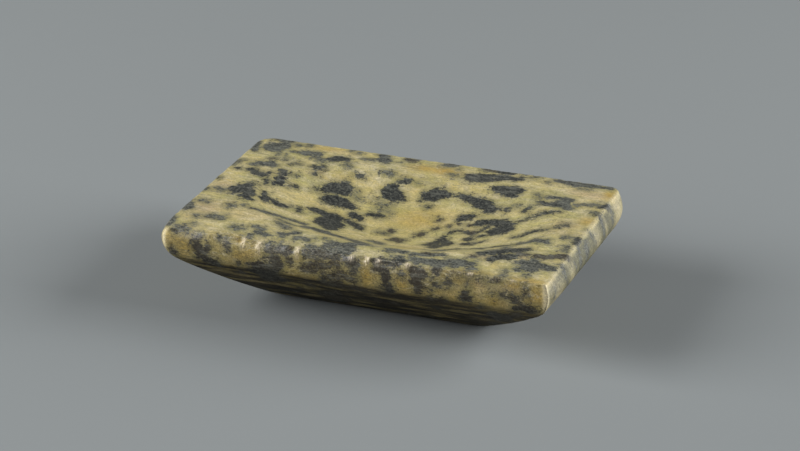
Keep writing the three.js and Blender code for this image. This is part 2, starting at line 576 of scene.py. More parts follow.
    def _shape(self, tree: FormTree, cube: Socket) -> Socket:
        """Shapes the cube into the palette.

        Args:
            tree: the palette's tree.
            cube: the cube, from -1 to 1 each way.

        Returns:
            The palette in millimetres, with how far each point is from the top edge, and how deep it
            lies in the dish.
        """
        size = tree.size
        across, back, up = tree.split(tree.place())
        height = self._ring_height(tree, (up + 1.0) / 2.0)
        at_right = tree.maths("GREATER_THAN", across, 0.0)
        at_back = tree.maths("GREATER_THAN", back, 0.0)
        end = {
            part: tree.blend(at_right, size[f"left_{part}"], size[f"right_{part}"])
            for part in self.FACE_PARTS
        }
        side = {part: size[f"side_{part}"] for part in self.FACE_PARTS}
        rearward = (back + 1.0) / 2.0
        half_length = size["length"] / 2.0 - self._run(tree, height, rearward, end)
        x = across * half_length
        share = x / size["length"]
        middle_width = tree.blend(share + 0.5, size["left_width"], size["right_width"]) / 2.0
        front = middle_width - self._run(tree, height, 0.0, side)
        rear = middle_width - self._run(tree, height, 1.0, side)
        y = rearward * (front + rear) - front
        half_width = tree.blend(at_back, front, rear)
        corner = self._corner(tree, at_right, at_back, height)
        past_x = tree.larger(tree.size_of(x) - half_length + corner, 0.0)
        past_y = tree.larger(tree.size_of(y) - half_width + corner, 0.0)
        reach = tree.larger(tree.root(past_x * past_x + past_y * past_y), self.NOTHING)
        drawn = 1.0 - tree.larger(past_x, past_y) / reach
        x_round = x - tree.maths("SIGN", x) * past_x * drawn
        y_round = y - tree.maths("SIGN", y) * past_y * drawn + size["right_shift"] * share
        on_top = tree.maths("GREATER_THAN", up, self.TOP_RING)
        out_x = (x_round - size["dish_right"]) / (size["dish_length"] / 2.0)
        out_y = (y_round + size["dish_forward"]) / (size["dish_width"] / 2.0)
        inside = tree.larger(1.0 - out_x * out_x - out_y * out_y, 0.0)
        hollow = tree.maths("POWER", inside, size["dish_fullness"]) * on_top
        from_line = tree.smaller(half_length - tree.size_of(x), half_width - tree.size_of(y))
        below = size["height"] - height
        from_edge = tree.root(from_line * from_line * on_top + below * below)
        kept = tree.keep(tree.keep(cube, "from_edge", from_edge), "hollow", hollow)
        return tree.move(kept, Position=tree.join(x_round, y_round, height - hollow * size["dish_depth"]))

    def _corner(self, tree: FormTree, at_right: Flow, at_back: Flow, height: Flow) -> Flow:
        """How far the nearest corner's rounding reaches along the sides, at a height.

        Args:
            tree: the palette's tree.
            at_right: 1 for a point on the right and 0 on the left.
            at_back: 1 for a point at the back and 0 at the front.
            height: its height.

        Returns:
            The reach.
        """
        size = tree.size
        left = tree.blend(at_back, size["front_left_corner"], size["back_left_corner"])
        right = tree.blend(at_back, size["front_right_corner"], size["back_right_corner"])
        low = 1.0 - tree.share(height, 0.0, size["height"] - size["band_height"])
        return tree.blend(low, tree.blend(at_right, left, right), size["base_corner"])

    def _wear(self, tree: FormTree, shape: Socket) -> Socket:
        """Sinks the surface here and there: hand-cut waves, lumps, pits and a worn top edge.

        Args:
            tree: the palette's tree.
            shape: the clean palette.

        Returns:
            The worn one. No point moves outwards, so it stays in its box.
        """
        size = tree.size
        place = tree.place()
        normal = tree.out(tree.add("GeometryNodeInputNormal"))
        drifted = place + tree.join(size["seed"], size["seed"] * 3.0, 0.0)
        waves = tree.noise(drifted, self.WAVES) * size["waviness"]
        lumps = tree.noise(drifted, self.LUMPS) * size["unevenness"]
        pit = tree.cells(drifted, self.PIT_APART)
        chosen = tree.maths("GREATER_THAN", tree.split(tree.out(pit, "Color"))[0], self.PITLESS)
        dipped = 1.0 - tree.share(tree.out(pit, "Distance"), *self.PIT_SPAN, smooth=True)
        pits = dipped * chosen * size["pit_depth"]
        from_edge = tree.recall("from_edge")
        near_edge = 1.0 - tree.share(from_edge, *self.BITE_REACH, smooth=True)
        bites = tree.noise(drifted, self.BITES) * near_edge * size["edge_wear"]
        across, back, up = tree.split(place)
        spared = tree.share(across, *self.SPARED_RIGHT) * self.SPARED
        at_front = tree.share(-back, *self.FRONT_EDGE) * (1.0 - spared)
        knocked = tree.blend(tree.noise(drifted, self.KNOCKS), self.RUB_LEAST, 1.0)
        at_edge = 1.0 - tree.share(from_edge, *self.RUB_REACH, smooth=True)
        rubbed = at_edge * knocked * at_front * size["front_wear"]
        sunk = (waves + lumps + pits + bites) * tree.share(up, *self.ABOVE_BASE)
        return tree.move(shape, Offset=rubbed * self.RUB_WAY - normal * sunk)

    def _scar(self, tree: FormTree, shape: Socket) -> Socket:
        """Scoops the flake scars out of the front's top edge.

        Args:
            tree: the palette's tree.
            shape: the worn palette.

        Returns:
            The scarred one, with how bruised and how lit each point is: above zero where the scar is
            crushed white, with a painted highlight on its right flank, and in a streak below, and below
            zero in its hollow, whose dark is painted shade.
        """
        size = tree.size
        start = tree.place()
        across, back, up = tree.split(start)
        rough = (tree.noise(start, self.BREAKS) - 0.6) * size["scar_roughness"]
        place = start
        bruise = tree.maths("ADD", 0.0, 0.0)
        for scar in self.SCARS:
            share = scar.place / size["length"]
            width = tree.blend(share + 0.5, size["left_width"], size["right_width"])
            out = scar.radius - scar.reach
            edge = tree.join(scar.place, size["right_shift"] * share - width / 2.0, size["height"])
            centre = edge + (0.0, -out * math.sin(scar.LEAN), out * math.cos(scar.LEAN))
            off = place - centre
            far = tree.length(off)
            push = tree.larger(scar.radius + rough - far, 0.0)
            place = place + off * (push / tree.larger(far, self.NOTHING))
            end = scar.place + scar.length / 2.0
            flank = tree.share(across, *(end - inwards for inwards in scar.FLANK))
            beside = tree.size_of(across - (end - scar.STREAK_IN)) / scar.STREAK_HALF_WIDTH
            lowest = size["height"] - scar.reach * scar.STREAK_DOWN
            below = tree.share(up, lowest, size["height"] - scar.reach) * tree.share(-back, *scar.BAND)
            streak = (1.0 - tree.share(beside, scar.STREAK_SOFT, 1.0)) * below
            cut = tree.share(push, 0.0, scar.CUT_DEPTH)
            # Painted light: the right flank's white is partly a painted highlight, and the hollow's dark is
            # painted shade.
            scarred = cut * (flank * scar.FLANK_WHITE_AND_HIGHLIGHT - scar.HOLLOW_SHADE)
            bruise = bruise + scarred + streak * (1.0 - cut) * scar.STREAK_WHITE
        return tree.move(tree.keep(shape, "bruise", bruise), Position=place)


class Face(Enum):
    """A face that flecks were read on: what its two coordinates are, and the way in to it."""

    TOP = ("x", "y", (0.0, 0.0, -1.0))
    FRONT = ("x", "z", (0.0, 1.0, 0.0))
    END = ("y", "z", (-1.0, 0.0, 0.0))

    def point(self, first: float, second: float) -> Vector:
        """A point well outside the face, in line with the two coordinates.

        Args:
            first: the first coordinate, in millimetres.
            second: the second one.

        Returns:
            The point in metres.
        """
        outside = -Vector(self.value[2]) * OUTSIDE
        setattr(outside, self.value[0], first)
        setattr(outside, self.value[1], second)
        return outside * METRES

    def way_in(self) -> Vector:
        """The direction from such a point to the face."""
        return Vector(self.value[2])


class Tone(Enum):
    """The dark stone of a fleck: how much of it is grey slate, and how much is brown umber."""

    CHARCOAL = (0.0, 0.0)
    SLATE = (1.0, 0.0)
    UMBER = (0.0, 1.0)


@dataclass(frozen=True)
class Fleck:
    """A dark fleck or streak of the stone: discs along its middle line, laid on one face.

    Each disc is its two coordinates on the face and its radius. body is how solid the fleck is, from
    1 for unbroken dark down to 0 for a scatter of specks.
    """

    face: Face
    tone: Tone
    body: float
    discs: tuple[Disc, ...]


def flecks(face: Face, tone: Tone, body: float, *paths: tuple[Disc, ...]) -> list[Fleck]:
    """Several flecks of one face, tone and strength.

    Args:
        face: the face that they were read on.
        tone: their dark stone.
        body: how solid they are.
        paths: the discs of each.

    Returns:
        The flecks.
    """
    return [Fleck(face, tone, body, path) for path in paths]


BACK_LEFT_FLECKS = [
    *flecks(
        Face.TOP, Tone.SLATE, 0.7,
        ((-35.0, 24.5, 0.9), (-34.0, 23.0, 1.3), (-34.0, 21.0, 1.9)),
        ((-36.0, 20.0, 1.9), (-34.5, 19.2, 1.7)),
        ((-39.8, 21.2, 0.8), (-39.4, 19.0, 1.1), (-38.4, 17.2, 0.7)),
        ((-30.4, 18.9, 0.45),),
        ((-29.0, 19.0, 0.7), (-27.3, 19.1, 1.0), (-25.2, 19.5, 0.9)),
        ((-35.8, 10.0, 0.6), (-34.4, 10.8, 1.1), (-32.8, 11.2, 1.3), (-31.5, 11.0, 0.8)),
    ),
    *flecks(
        Face.TOP, Tone.SLATE, 0.45,
        ((-25.0, 18.0, 0.8), (-23.4, 17.2, 1.1), (-22.5, 16.6, 0.7)),
        ((-30.8, 22.6, 0.8),),
        ((-17.8, 17.4, 0.8), (-16.6, 16.0, 0.6)),
        ((-28.6, 23.3, 0.8),),
        ((-32.6, 24.6, 0.6),),
        ((-33.0, 17.2, 0.9),),
        ((-31.6, 17.6, 0.3), (-30.2, 14.0, 0.3)),
        ((-14.9, 20.8, 0.8), (-13.5, 20.8, 0.8)),
        ((-17.0, 23.4, 0.6),),
        ((-19.0, 24.5, 0.6),),
        ((-38.3, 11.3, 0.35),),
        ((-39.5, 10.5, 0.8), (-39.8, 8.0, 0.6)),
    ),
    *flecks(Face.TOP, Tone.UMBER, 0.4, ((-33.0, 14.3, 0.8),)),
    *flecks(
        Face.TOP, Tone.CHARCOAL, 0.9,
        ((-21.8, 18.0, 0.9), (-20.3, 18.7, 1.4), (-18.8, 19.0, 1.0)),
        ((-14.0, 14.0, 0.6), (-12.9, 14.0, 0.5)),
    ),
]

BACK_RIGHT_FLECKS = [
    *flecks(
        Face.TOP, Tone.SLATE, 0.9,
        ((-11.8, 23.8, 0.9), (-11.0, 22.3, 1.3), (-10.0, 21.0, 1.0)),
        ((2.4, 23.9, 0.8), (4.0, 24.2, 0.8)),
        ((31.0, 13.7, 1.5), (32.0, 12.4, 1.2), (32.8, 11.4, 0.8)),
        ((26.6, 24.0, 0.7), (29.3, 24.1, 1.0), (31.7, 23.7, 1.2), (33.7, 23.9, 1.0), (36.0, 24.1, 0.8),
        (38.3, 24.4, 0.5)),
        ((26.9, 14.8, 0.4), (29.0, 15.6, 0.5), (31.2, 15.4, 0.7), (32.6, 15.0, 0.5)),
    ),
    *flecks(
        Face.TOP, Tone.CHARCOAL, 1.0,
        ((8.8, 19.8, 1.2), (10.2, 19.6, 2.0), (11.8, 19.8, 2.0), (13.2, 20.7, 1.7)),
        ((13.2, 20.7, 1.7), (14.9, 21.5, 1.4), (17.0, 21.9, 1.0), (19.6, 22.5, 0.6)),
        ((15.9, 16.0, 1.0), (17.2, 16.4, 1.2), (18.6, 16.2, 1.2)),
        ((18.6, 15.8, 1.5), (20.0, 16.2, 1.7), (19.8, 14.9, 1.3)),
        ((26.8, 12.0, 0.7), (28.4, 11.9, 0.9), (30.4, 12.1, 1.0)),
        ((39.0, 14.4, 0.6), (39.9, 15.4, 0.8)),
    ),
    *flecks(
        Face.TOP, Tone.UMBER, 0.75,
        ((-6.0, 23.6, 0.9), (-4.7, 23.8, 0.9)),
    ),
    *flecks(
        Face.TOP, Tone.SLATE, 0.45,
        ((-7.3, 21.9, 0.5),),
        ((-8.4, 16.6, 0.6), (-7.2, 16.4, 0.6)),
        ((32.2, 21.9, 0.5), (34.2, 22.2, 0.4)),
        ((38.3, 11.2, 0.7), (39.4, 10.7, 0.8)),
        ((5.0, 19.3, 0.5), (5.8, 19.2, 0.5)),
        ((5.5, 22.6, 0.5),),
        ((20.8, 23.6, 0.5), (22.6, 24.6, 0.5)),
        ((25.3, 22.7, 0.6),),
        ((25.0, 15.8, 0.6), (26.2, 14.6, 0.8)),
        ((34.0, 13.6, 0.6), (35.7, 14.1, 0.7), (37.4, 14.9, 0.7), (39.0, 14.8, 0.6)),
    ),
]

DISH_FLECKS = [
    *flecks(
        Face.TOP, Tone.CHARCOAL, 1.0,
        ((-18.9, 7.5, 0.6), (-17.4, 8.5, 1.8), (-15.2, 9.4, 2.1)),
        ((-16.4, 5.3, 1.7), (-14.6, 5.3, 1.7), (-12.8, 5.2, 1.1), (-11.4, 4.8, 0.6)),
        ((-28.7, 8.8, 0.7), (-27.8, 8.2, 0.6)),
        ((-27.9, 6.2, 0.9), (-27.8, 4.7, 1.0), (-28.3, 3.7, 0.5)),
        ((-24.0, 5.1, 0.3),),
        ((-17.6, -0.5, 0.8), (-16.4, -0.3, 0.9), (-15.2, -0.6, 0.7)),
        ((-5.6, 12.9, 1.2), (-5.9, 11.5, 1.5), (-4.3, 11.3, 1.5), (-4.3, 10.0, 0.8)),
        ((-10.1, 2.3, 0.9), (-9.4, 2.0, 1.0), (-8.3, 1.6, 0.7)),
        ((2.4, 12.5, 1.3), (3.8, 13.0, 1.6), (5.0, 13.4, 1.3), (6.6, 13.2, 0.6)),
        ((7.4, 13.3, 0.3), (8.8, 13.2, 0.3), (9.8, 13.1, 0.6), (11.0, 12.9, 0.8), (12.5, 12.5, 0.9)),
        ((12.5, 12.5, 0.9), (14.1, 11.8, 1.2), (15.7, 11.0, 1.4), (16.6, 10.0, 1.3)),
        ((15.8, 5.2, 0.8), (17.3, 5.6, 0.8), (18.8, 5.8, 1.0), (20.7, 5.3, 1.1), (22.8, 4.6, 0.9)),
        ((20.0, 1.6, 1.2), (21.3, 2.3, 1.8), (22.8, 2.8, 1.5)),
        ((-31.7, 0.6, 0.6), (-32.0, -1.5, 1.2), (-32.8, -2.8, 1.6), (-31.0, -3.3, 1.4)),
        ((-34.5, -3.6, 0.9), (-33.0, -4.6, 1.0)),
        ((-30.6, -5.4, 1.1), (-29.6, -6.3, 0.9)),
        ((-31.5, -6.0, 0.7),),
        ((-28.3, -1.4, 0.6), (-27.7, -2.8, 0.9), (-27.0, -4.0, 0.7)),
        ((-25.2, -3.0, 0.8), (-24.3, -3.6, 0.9), (-22.9, -3.4, 0.7)),
        ((-13.4, -0.2, 1.2), (-12.6, -1.2, 1.4), (-13.5, -3.5, 2.2), (-12.2, -5.0, 2.2),
        (-11.6, -7.0, 1.4)),
        ((-13.9, -5.5, 1.6),),
        ((-11.2, -3.8, 1.2),),
        ((-10.4, -0.4, 0.7), (-9.4, -1.2, 0.6), (-8.2, -1.8, 0.7), (-7.2, -2.2, 0.6), (-6.5, -3.2, 0.6)),
        ((10.9, -1.2, 0.6), (11.2, -2.8, 1.0), (11.8, -4.6, 1.1), (11.4, -7.0, 1.2), (11.4, -9.2, 0.8)),
        ((8.4, -6.8, 0.4), (9.6, -6.0, 0.9), (10.4, -4.4, 1.0)),
        ((12.9, -4.5, 0.8), (13.3, -6.0, 0.7)),
        ((16.3, -1.6, 0.7),),
        ((16.8, -4.8, 0.9),),
    ),
    *flecks(
        Face.TOP, Tone.CHARCOAL, 0.75,
        ((11.5, 6.5, 0.7), (12.5, 7.2, 0.9), (13.8, 7.3, 0.7)),
        ((-37.9, 6.8, 0.5),),
        ((-35.0, 7.2, 0.9), (-33.5, 6.0, 1.0), (-31.5, 5.4, 1.1)),
        ((-30.8, 6.6, 0.6),),
        ((-30.0, 4.0, 0.4), (-29.7, 2.7, 0.35)),
        ((-23.3, 13.1, 0.8), (-22.4, 12.7, 0.6), (-21.6, 13.5, 0.8)),
        ((-22.0, 10.8, 0.6),),
        ((-4.6, 15.0, 0.6), (-3.0, 15.6, 0.6)),
        ((-2.6, 10.6, 0.7),),
        ((-8.0, 3.3, 0.3), (-6.8, 3.8, 0.6), (-5.0, 4.2, 0.6), (-3.8, 4.4, 0.3)),
        ((20.0, 9.9, 0.35), (21.3, 10.6, 0.3), (22.9, 10.8, 0.25)),
        ((24.5, 9.3, 0.5), (25.2, 10.4, 0.35)),
        ((18.2, 10.2, 0.35), (19.3, 10.3, 0.25)),
        ((-20.2, -2.3, 0.6), (-19.9, -3.1, 0.6)),
        ((18.6, 0.2, 0.8),),
    ),
    *flecks(
        Face.TOP, Tone.UMBER, 0.8,
        ((16.2, 1.2, 0.8),),
        ((7.3, 5.7, 0.35),),
        ((10.4, 3.3, 0.45),),
        ((8.1, 2.4, 0.4),),
        ((12.3, 4.6, 0.4),),
        ((14.2, 4.6, 0.3),),
        ((1.6, -4.7, 0.7), (2.2, -5.6, 0.9), (3.0, -6.6, 0.6)),
        ((3.2, -5.0, 0.6),),
        ((-0.6, -0.8, 0.5), (-0.3, -1.6, 0.4)),
        ((5.9, -0.4, 0.6), (5.5, -1.6, 0.5)),
    ),
    *flecks(
        Face.TOP, Tone.CHARCOAL, 0.35,
        ((-19.8, 6.9, 0.8),),
        ((-27.8, 8.2, 0.5), (-25.5, 8.6, 0.3)),
        ((-25.2, 4.8, 0.5),),
        ((-31.7, 0.7, 0.7),),
        ((-39.8, 0.6, 0.6),),
        ((-27.2, 13.2, 0.8), (-28.0, 12.8, 0.7)),
        ((-1.0, 15.5, 0.3),),
        ((1.6, 11.7, 0.5),),
        ((3.4, 9.4, 0.5),),
        ((12.2, 2.4, 0.5),),
        ((34.9, 3.1, 0.9),),
        ((-22.2, -2.6, 0.4),),
        ((26.4, -1.0, 0.7),),
        ((-2.5, -2.9, 0.6), (-1.0, -2.8, 0.6)),
    ),
    *flecks(
        Face.TOP, Tone.SLATE, 0.85,
        ((-26.3, -10.9, 0.45), (-24.0, -10.6, 0.7), (-22.0, -10.0, 0.6), (-19.5, -9.8, 0.6),
        (-16.0, -9.5, 0.6)),
        ((-14.7, -12.0, 1.0), (-13.4, -10.8, 1.2), (-11.1, -11.6, 1.5), (-8.9, -12.0, 1.1),
        (-7.0, -11.8, 0.5)),
        ((-6.5, -12.7, 0.6), (-4.3, -13.0, 1.2), (-2.4, -14.4, 1.7), (-0.6, -16.5, 1.6),
        (0.6, -18.8, 1.4)),
        ((-2.0, -9.6, 0.5), (0.3, -10.0, 0.7), (1.2, -11.5, 0.5)),
        ((28.4, -5.9, 0.4), (30.2, -5.7, 0.6), (31.1, -4.4, 0.7), (33.7, -5.9, 0.7)),
        ((7.4, -19.6, 0.5), (10.6, -20.6, 0.5), (13.6, -20.2, 0.5), (16.9, -19.0, 0.4)),
    ),
    *flecks(
        Face.TOP, Tone.SLATE, 0.5,
        ((-19.0, -15.4, 0.9), (-16.5, -17.3, 1.0)),
        ((-32.2, -11.0, 0.5), (-30.8, -11.3, 0.8), (-31.2, -12.3, 0.5)),
        ((-29.0, -10.6, 0.6),),
        ((-20.0, -12.4, 0.7), (-17.4, -13.4, 0.8)),
        ((11.8, -12.7, 0.8), (14.6, -11.4, 0.8), (13.4, -15.5, 0.8)),
    ),
    *flecks(
        Face.TOP, Tone.CHARCOAL, 0.65,
        ((14.6, -10.4, 0.35), (16.6, -9.2, 0.35), (19.5, -8.9, 0.3), (21.9, -9.0, 0.35),
        (23.9, -7.7, 0.3)),
        ((23.9, -7.7, 0.3), (26.1, -7.2, 0.3), (28.7, -6.1, 0.4)),
        ((16.3, -5.1, 0.35), (18.3, -4.8, 0.4), (20.0, -3.0, 0.3)),
        ((16.0, -2.3, 0.45), (17.1, -2.0, 0.4)),
        ((1.4, -6.1, 0.5), (3.0, -5.3, 0.5)),
        ((11.2, 1.1, 0.3), (12.7, 2.3, 0.35), (14.6, 1.6, 0.35), (16.5, 0.4, 0.5), (17.3, 2.1, 0.4),
        (18.4, 3.6, 0.5)),
        ((26.6, -1.5, 0.2), (28.3, 0.1, 0.4), (30.4, 1.1, 0.35), (31.9, 1.5, 0.25), (34.4, 1.7, 0.2)),
        ((22.6, 5.4, 0.2), (24.9, 5.5, 0.25), (26.3, 6.7, 0.25), (28.2, 7.5, 0.45), (29.2, 8.1, 0.45)),
        ((28.9, 8.0, 0.5), (30.2, 8.4, 0.4), (31.9, 9.3, 0.4)),
    ),
    *flecks(
        Face.TOP, Tone.SLATE, 0.0,
        ((-12.6, 9.4, 1.0), (-11.8, 8.2, 0.9)),
        ((-7.2, 8.6, 0.8), (-5.5, 7.4, 1.4), (-4.4, 6.2, 0.9)),
    ),
]

FRONT_LEFT_FLECKS = [
    *flecks(
        Face.TOP, Tone.SLATE, 0.5,
        ((-37.8, -11.3, 0.8), (-36.2, -11.7, 0.6)),
        ((-39.6, -5.5, 0.8),),
        ((-37.5, -4.4, 0.6), (-36.0, -4.6, 0.7)),
        ((-33.0, -17.8, 1.1), (-31.0, -17.6, 0.9), (-30.2, -18.3, 0.7)),
        ((-35.7, -18.8, 0.6),),
        ((-37.0, -24.3, 1.0), (-35.5, -24.2, 0.9)),
        ((-34.5, -22.5, 0.8),),
        ((-26.3, -21.0, 0.8), (-25.5, -21.5, 1.0), (-24.1, -21.1, 0.6)),
        ((-21.8, -23.3, 0.6),),
        ((-9.0, -20.6, 0.5),),
        ((-7.3, -19.7, 0.5),),
        ((2.6, -18.5, 0.6), (3.2, -19.5, 0.5)),
    ),
    *flecks(
        Face.TOP, Tone.SLATE, 0.7,
        ((-39.6, -13.5, 1.0), (-39.2, -15.2, 1.1)),
        ((-39.8, -21.0, 0.9), (-39.4, -22.8, 1.0)),
        ((-22.5, -19.3, 0.6), (-21.3, -19.6, 0.5), (-20.4, -19.8, 0.5)),
        ((-21.0, -21.6, 0.8), (-20.0, -21.9, 0.7), (-18.5, -22.2, 0.6)),
        ((-17.2, -24.6, 0.9),),
        ((-16.0, -20.8, 1.0), (-15.7, -21.6, 0.7)),
        ((-14.8, -20.2, 0.7), (-13.6, -19.2, 0.6)),
        ((-12.5, -21.3, 0.8), (-12.6, -21.9, 0.6)),
        ((-10.3, -21.8, 0.8),),
        ((-5.0, -22.5, 1.3), (-4.0, -21.4, 1.0), (-2.0, -21.3, 1.4), (-1.0, -23.0, 1.4)),
        ((-3.0, -24.0, 1.9), (-5.0, -25.2, 1.4), (-7.5, -25.0, 1.0)),
        ((-0.5, -25.2, 1.2),),
        ((-1.2, -20.4, 0.8),),
        ((6.3, -20.5, 0.9), (7.4, -20.4, 0.8)),
        ((9.7, -22.9, 0.9),),
        ((9.4, -25.2, 0.9), (10.6, -25.0, 0.8)),
    ),
]

FRONT_RIGHT_FLECKS = [
    *flecks(
        Face.TOP, Tone.SLATE, 0.75,
        ((32.0, -4.6, 0.8), (33.0, -5.6, 1.0)),
        ((34.3, -14.8, 0.9),),
        ((32.6, -16.6, 1.1), (34.6, -16.9, 1.6), (36.8, -17.2, 1.2), (38.8, -17.2, 1.1)),
        ((33.6, -18.6, 1.3), (35.4, -18.9, 1.2)),
        ((32.8, -20.2, 0.6),),
        ((19.2, -21.2, 0.9), (21.2, -20.9, 1.3), (23.2, -21.0, 1.1)),
        ((20.8, -22.8, 0.9),),
        ((24.3, -23.0, 0.9),),
        ((12.2, -22.6, 0.8), (14.4, -22.4, 1.0), (16.5, -22.6, 1.3), (18.6, -22.8, 1.2)),
        ((13.4, -23.4, 1.0),),
        ((14.2, -24.8, 0.9),),
        ((17.8, -24.6, 1.2), (19.0, -25.4, 0.8)),
    ),
    *flecks(
        Face.TOP, Tone.CHARCOAL, 0.9,
        ((23.7, -15.0, 1.0), (26.5, -13.7, 1.4), (27.8, -12.3, 1.5), (29.9, -11.6, 1.2),
        (31.5, -10.4, 0.6)),
        ((26.5, -17.4, 0.8), (28.0, -15.6, 1.2), (30.2, -14.5, 1.0)),
        ((39.3, -2.3, 0.6), (39.6, -4.3, 0.4)),
    ),
    *flecks(
        Face.TOP, Tone.SLATE, 0.4,
        ((33.6, -4.8, 0.6),),
        ((36.9, -2.5, 0.7), (38.3, -2.3, 0.5)),
        ((38.8, -8.6, 1.0), (38.4, -7.0, 0.6)),
        ((26.8, -9.3, 1.2),),
        ((24.6, -12.0, 1.2), (24.2, -14.2, 1.0)),
        ((30.7, -21.2, 0.5),),
        ((35.0, -21.8, 0.8),),
        ((31.2, -23.6, 0.8),),
        ((24.0, -18.4, 0.5),),
    ),
    *flecks(
        Face.TOP, Tone.UMBER, 0.8,
        ((30.9, -12.9, 0.9), (32.4, -13.0, 0.6)),
        ((34.3, -12.9, 0.8), (36.0, -12.7, 0.8), (37.4, -12.0, 0.7), (38.4, -11.2, 0.8),
        (39.4, -10.8, 0.9)),
        ((22.8, -17.4, 0.6),),
        ((30.4, -25.0, 0.9),),
        ((13.4, -19.6, 0.4), (15.5, -18.9, 0.4)),
        ((5.8, -25.0, 0.7),),
    ),
    *flecks(Face.TOP, Tone.UMBER, 0.1, ((21.0, -24.8, 0.5), (28.0, -24.6, 0.6), (34.0, -24.9, 0.4))),
]

BAND_FLECKS = [
    *flecks(
        Face.FRONT, Tone.CHARCOAL, 0.78,
        ((-38.3, 13.5, 0.6), (-37.6, 13.0, 0.5)),
        ((-32.4, 15.4, 1.1), (-31.0, 15.0, 0.9), (-30.1, 15.6, 0.6)),
        ((-32.3, 13.6, 1.0), (-30.6, 12.6, 0.8), (-28.6, 12.5, 0.6)),
        ((-23.6, 12.9, 0.5),),
        ((-21.5, 13.2, 0.6), (-20.0, 13.4, 0.8), (-18.5, 13.6, 1.0), (-17.3, 13.2, 1.0)),
        ((-20.5, 11.5, 1.5), (-18.5, 11.0, 1.8), (-17.0, 10.3, 1.6)),
        ((-16.2, 15.6, 1.1), (-15.2, 14.2, 1.2), (-16.8, 12.3, 1.4)),
        ((-20.0, 12.6, 1.1), (-17.9, 11.6, 1.4)),
        ((-19.0, 9.2, 1.6), (-16.0, 9.5, 1.3)),
        ((-14.2, 17.3, 1.1), (-12.8, 17.6, 0.7)),
        ((-1.0, 17.6, 0.7), (0.0, 17.5, 1.0), (1.4, 17.2, 0.9)),
        ((0.5, 13.4, 0.7),),
        ((-5.6, 12.6, 0.9),),
        ((6.5, 17.0, 1.1), (7.6, 16.6, 1.0), (7.4, 14.9, 1.1), (7.6, 13.2, 1.2), (8.2, 12.0, 0.9)),
        ((5.6, 18.2, 0.7), (8.0, 18.2, 0.9), (9.6, 18.3, 0.8), (10.4, 18.6, 0.7)),
        ((23.9, 14.4, 0.8), (23.4, 13.3, 0.8), (24.6, 13.4, 0.8)),
        ((33.8, 12.9, 0.7), (35.5, 13.2, 1.0), (37.2, 13.0, 0.8), (38.6, 12.7, 0.5)),
        ((18.0, 15.5, 0.7),),
        ((28.5, 9.0, 1.5), (30.0, 8.0, 1.8), (31.2, 9.0, 1.2)),
        ((29.0, 7.0, 1.3),),
    ),
    *flecks(
        Face.FRONT, Tone.SLATE, 0.6,
        ((-32.6, 17.3, 0.8), (-31.8, 18.0, 0.6)),
        ((-32.9, 16.3, 0.7),),
        ((-26.2, 17.8, 0.7), (-25.8, 16.2, 0.9)),
        ((-27.7, 17.8, 0.6),),
        ((-17.0, 17.5, 1.0), (-15.3, 17.2, 1.2), (-13.6, 17.0, 1.0)),
        ((-16.4, 16.2, 0.9), (-17.3, 14.6, 1.0), (-16.4, 14.0, 0.8)),
        ((-9.0, 18.6, 0.9), (-7.5, 18.4, 0.9), (-5.5, 18.6, 0.9), (-3.5, 18.5, 0.8), (-1.7, 18.3, 0.8)),
        ((-7.4, 17.3, 0.8), (-9.3, 17.5, 0.8)),
        ((0.8, 15.5, 0.8),),
        ((17.0, 18.8, 0.8), (18.5, 18.7, 0.7)),
        ((16.9, 16.7, 0.5),),
        ((20.2, 17.0, 0.8), (20.4, 16.0, 0.8), (19.0, 15.8, 0.6)),
        ((17.0, 14.0, 0.4),),
        ((31.6, 15.4, 0.7), (33.0, 15.0, 0.9), (34.5, 14.6, 0.8)),
        ((29.3, 15.4, 0.4),),
    ),
    *flecks(
        Face.FRONT, Tone.UMBER, 0.95,
        ((13.2, 17.6, 1.1), (14.4, 16.8, 1.4), (15.6, 16.9, 0.8)),
        ((14.0, 15.2, 1.3), (14.6, 14.4, 1.0), (14.2, 13.3, 0.7)),
    ),
    *flecks(
        Face.FRONT, Tone.UMBER, 0.55,
        ((-5.1, 13.1, 1.2), (-2.0, 13.9, 1.1), (0.7, 13.5, 0.9)),
        ((-9.3, 14.3, 1.2), (-6.1, 15.6, 1.0), (-2.5, 16.5, 0.9)),
        ((-10.3, 14.3, 0.5),),
        ((-12.5, 15.5, 0.9),),
        ((7.2, 11.3, 0.8),),
        ((-5.5, 11.0, 1.5), (-3.0, 11.5, 1.4)),
        ((-9.5, 9.2, 1.2),),
        ((7.2, 6.8, 1.1),),
        ((3.6, 6.8, 1.0),),
        ((-5.0, 7.5, 1.2),),
        ((24.1, 15.9, 0.4),),
        ((29.0, 18.0, 0.5), (30.6, 18.4, 0.5)),
        ((35.7, 17.0, 0.5), (36.0, 16.1, 0.4)),
        ((19.0, 11.5, 1.0),),
        ((33.8, 10.5, 1.0),),
    ),
]

END_FLECKS = [
    *flecks(
        Face.END, Tone.SLATE, 0.8,
        ((16.2, 18.3, 0.4), (15.4, 16.5, 0.4), (14.8, 14.5, 0.3)),
        ((10.0, 18.4, 0.4), (9.0, 17.0, 0.5), (8.7, 15.4, 0.5), (9.6, 13.4, 0.4)),
        ((-1.0, 17.8, 0.6), (-2.4, 16.6, 0.8), (-3.4, 14.8, 0.7)),
        ((-5.4, 17.8, 0.6), (-6.6, 16.4, 0.7), (-7.2, 14.6, 0.5)),
    ),
    *flecks(
        Face.END, Tone.SLATE, 0.6,
        ((2.4, 18.2, 0.5), (3.0, 16.0, 0.4), (4.2, 14.0, 0.3)),
        ((12.6, 17.4, 0.3), (12.2, 15.4, 0.25)),
        ((-15.0, 18.2, 0.6), (-15.6, 16.8, 0.5), (-15.0, 14.8, 0.4)),
        ((-9.4, 16.6, 0.4), (-10.4, 14.4, 0.3)),
        ((-21.5, 16.4, 0.2), (-22.6, 15.0, 0.2)),
    ),
]

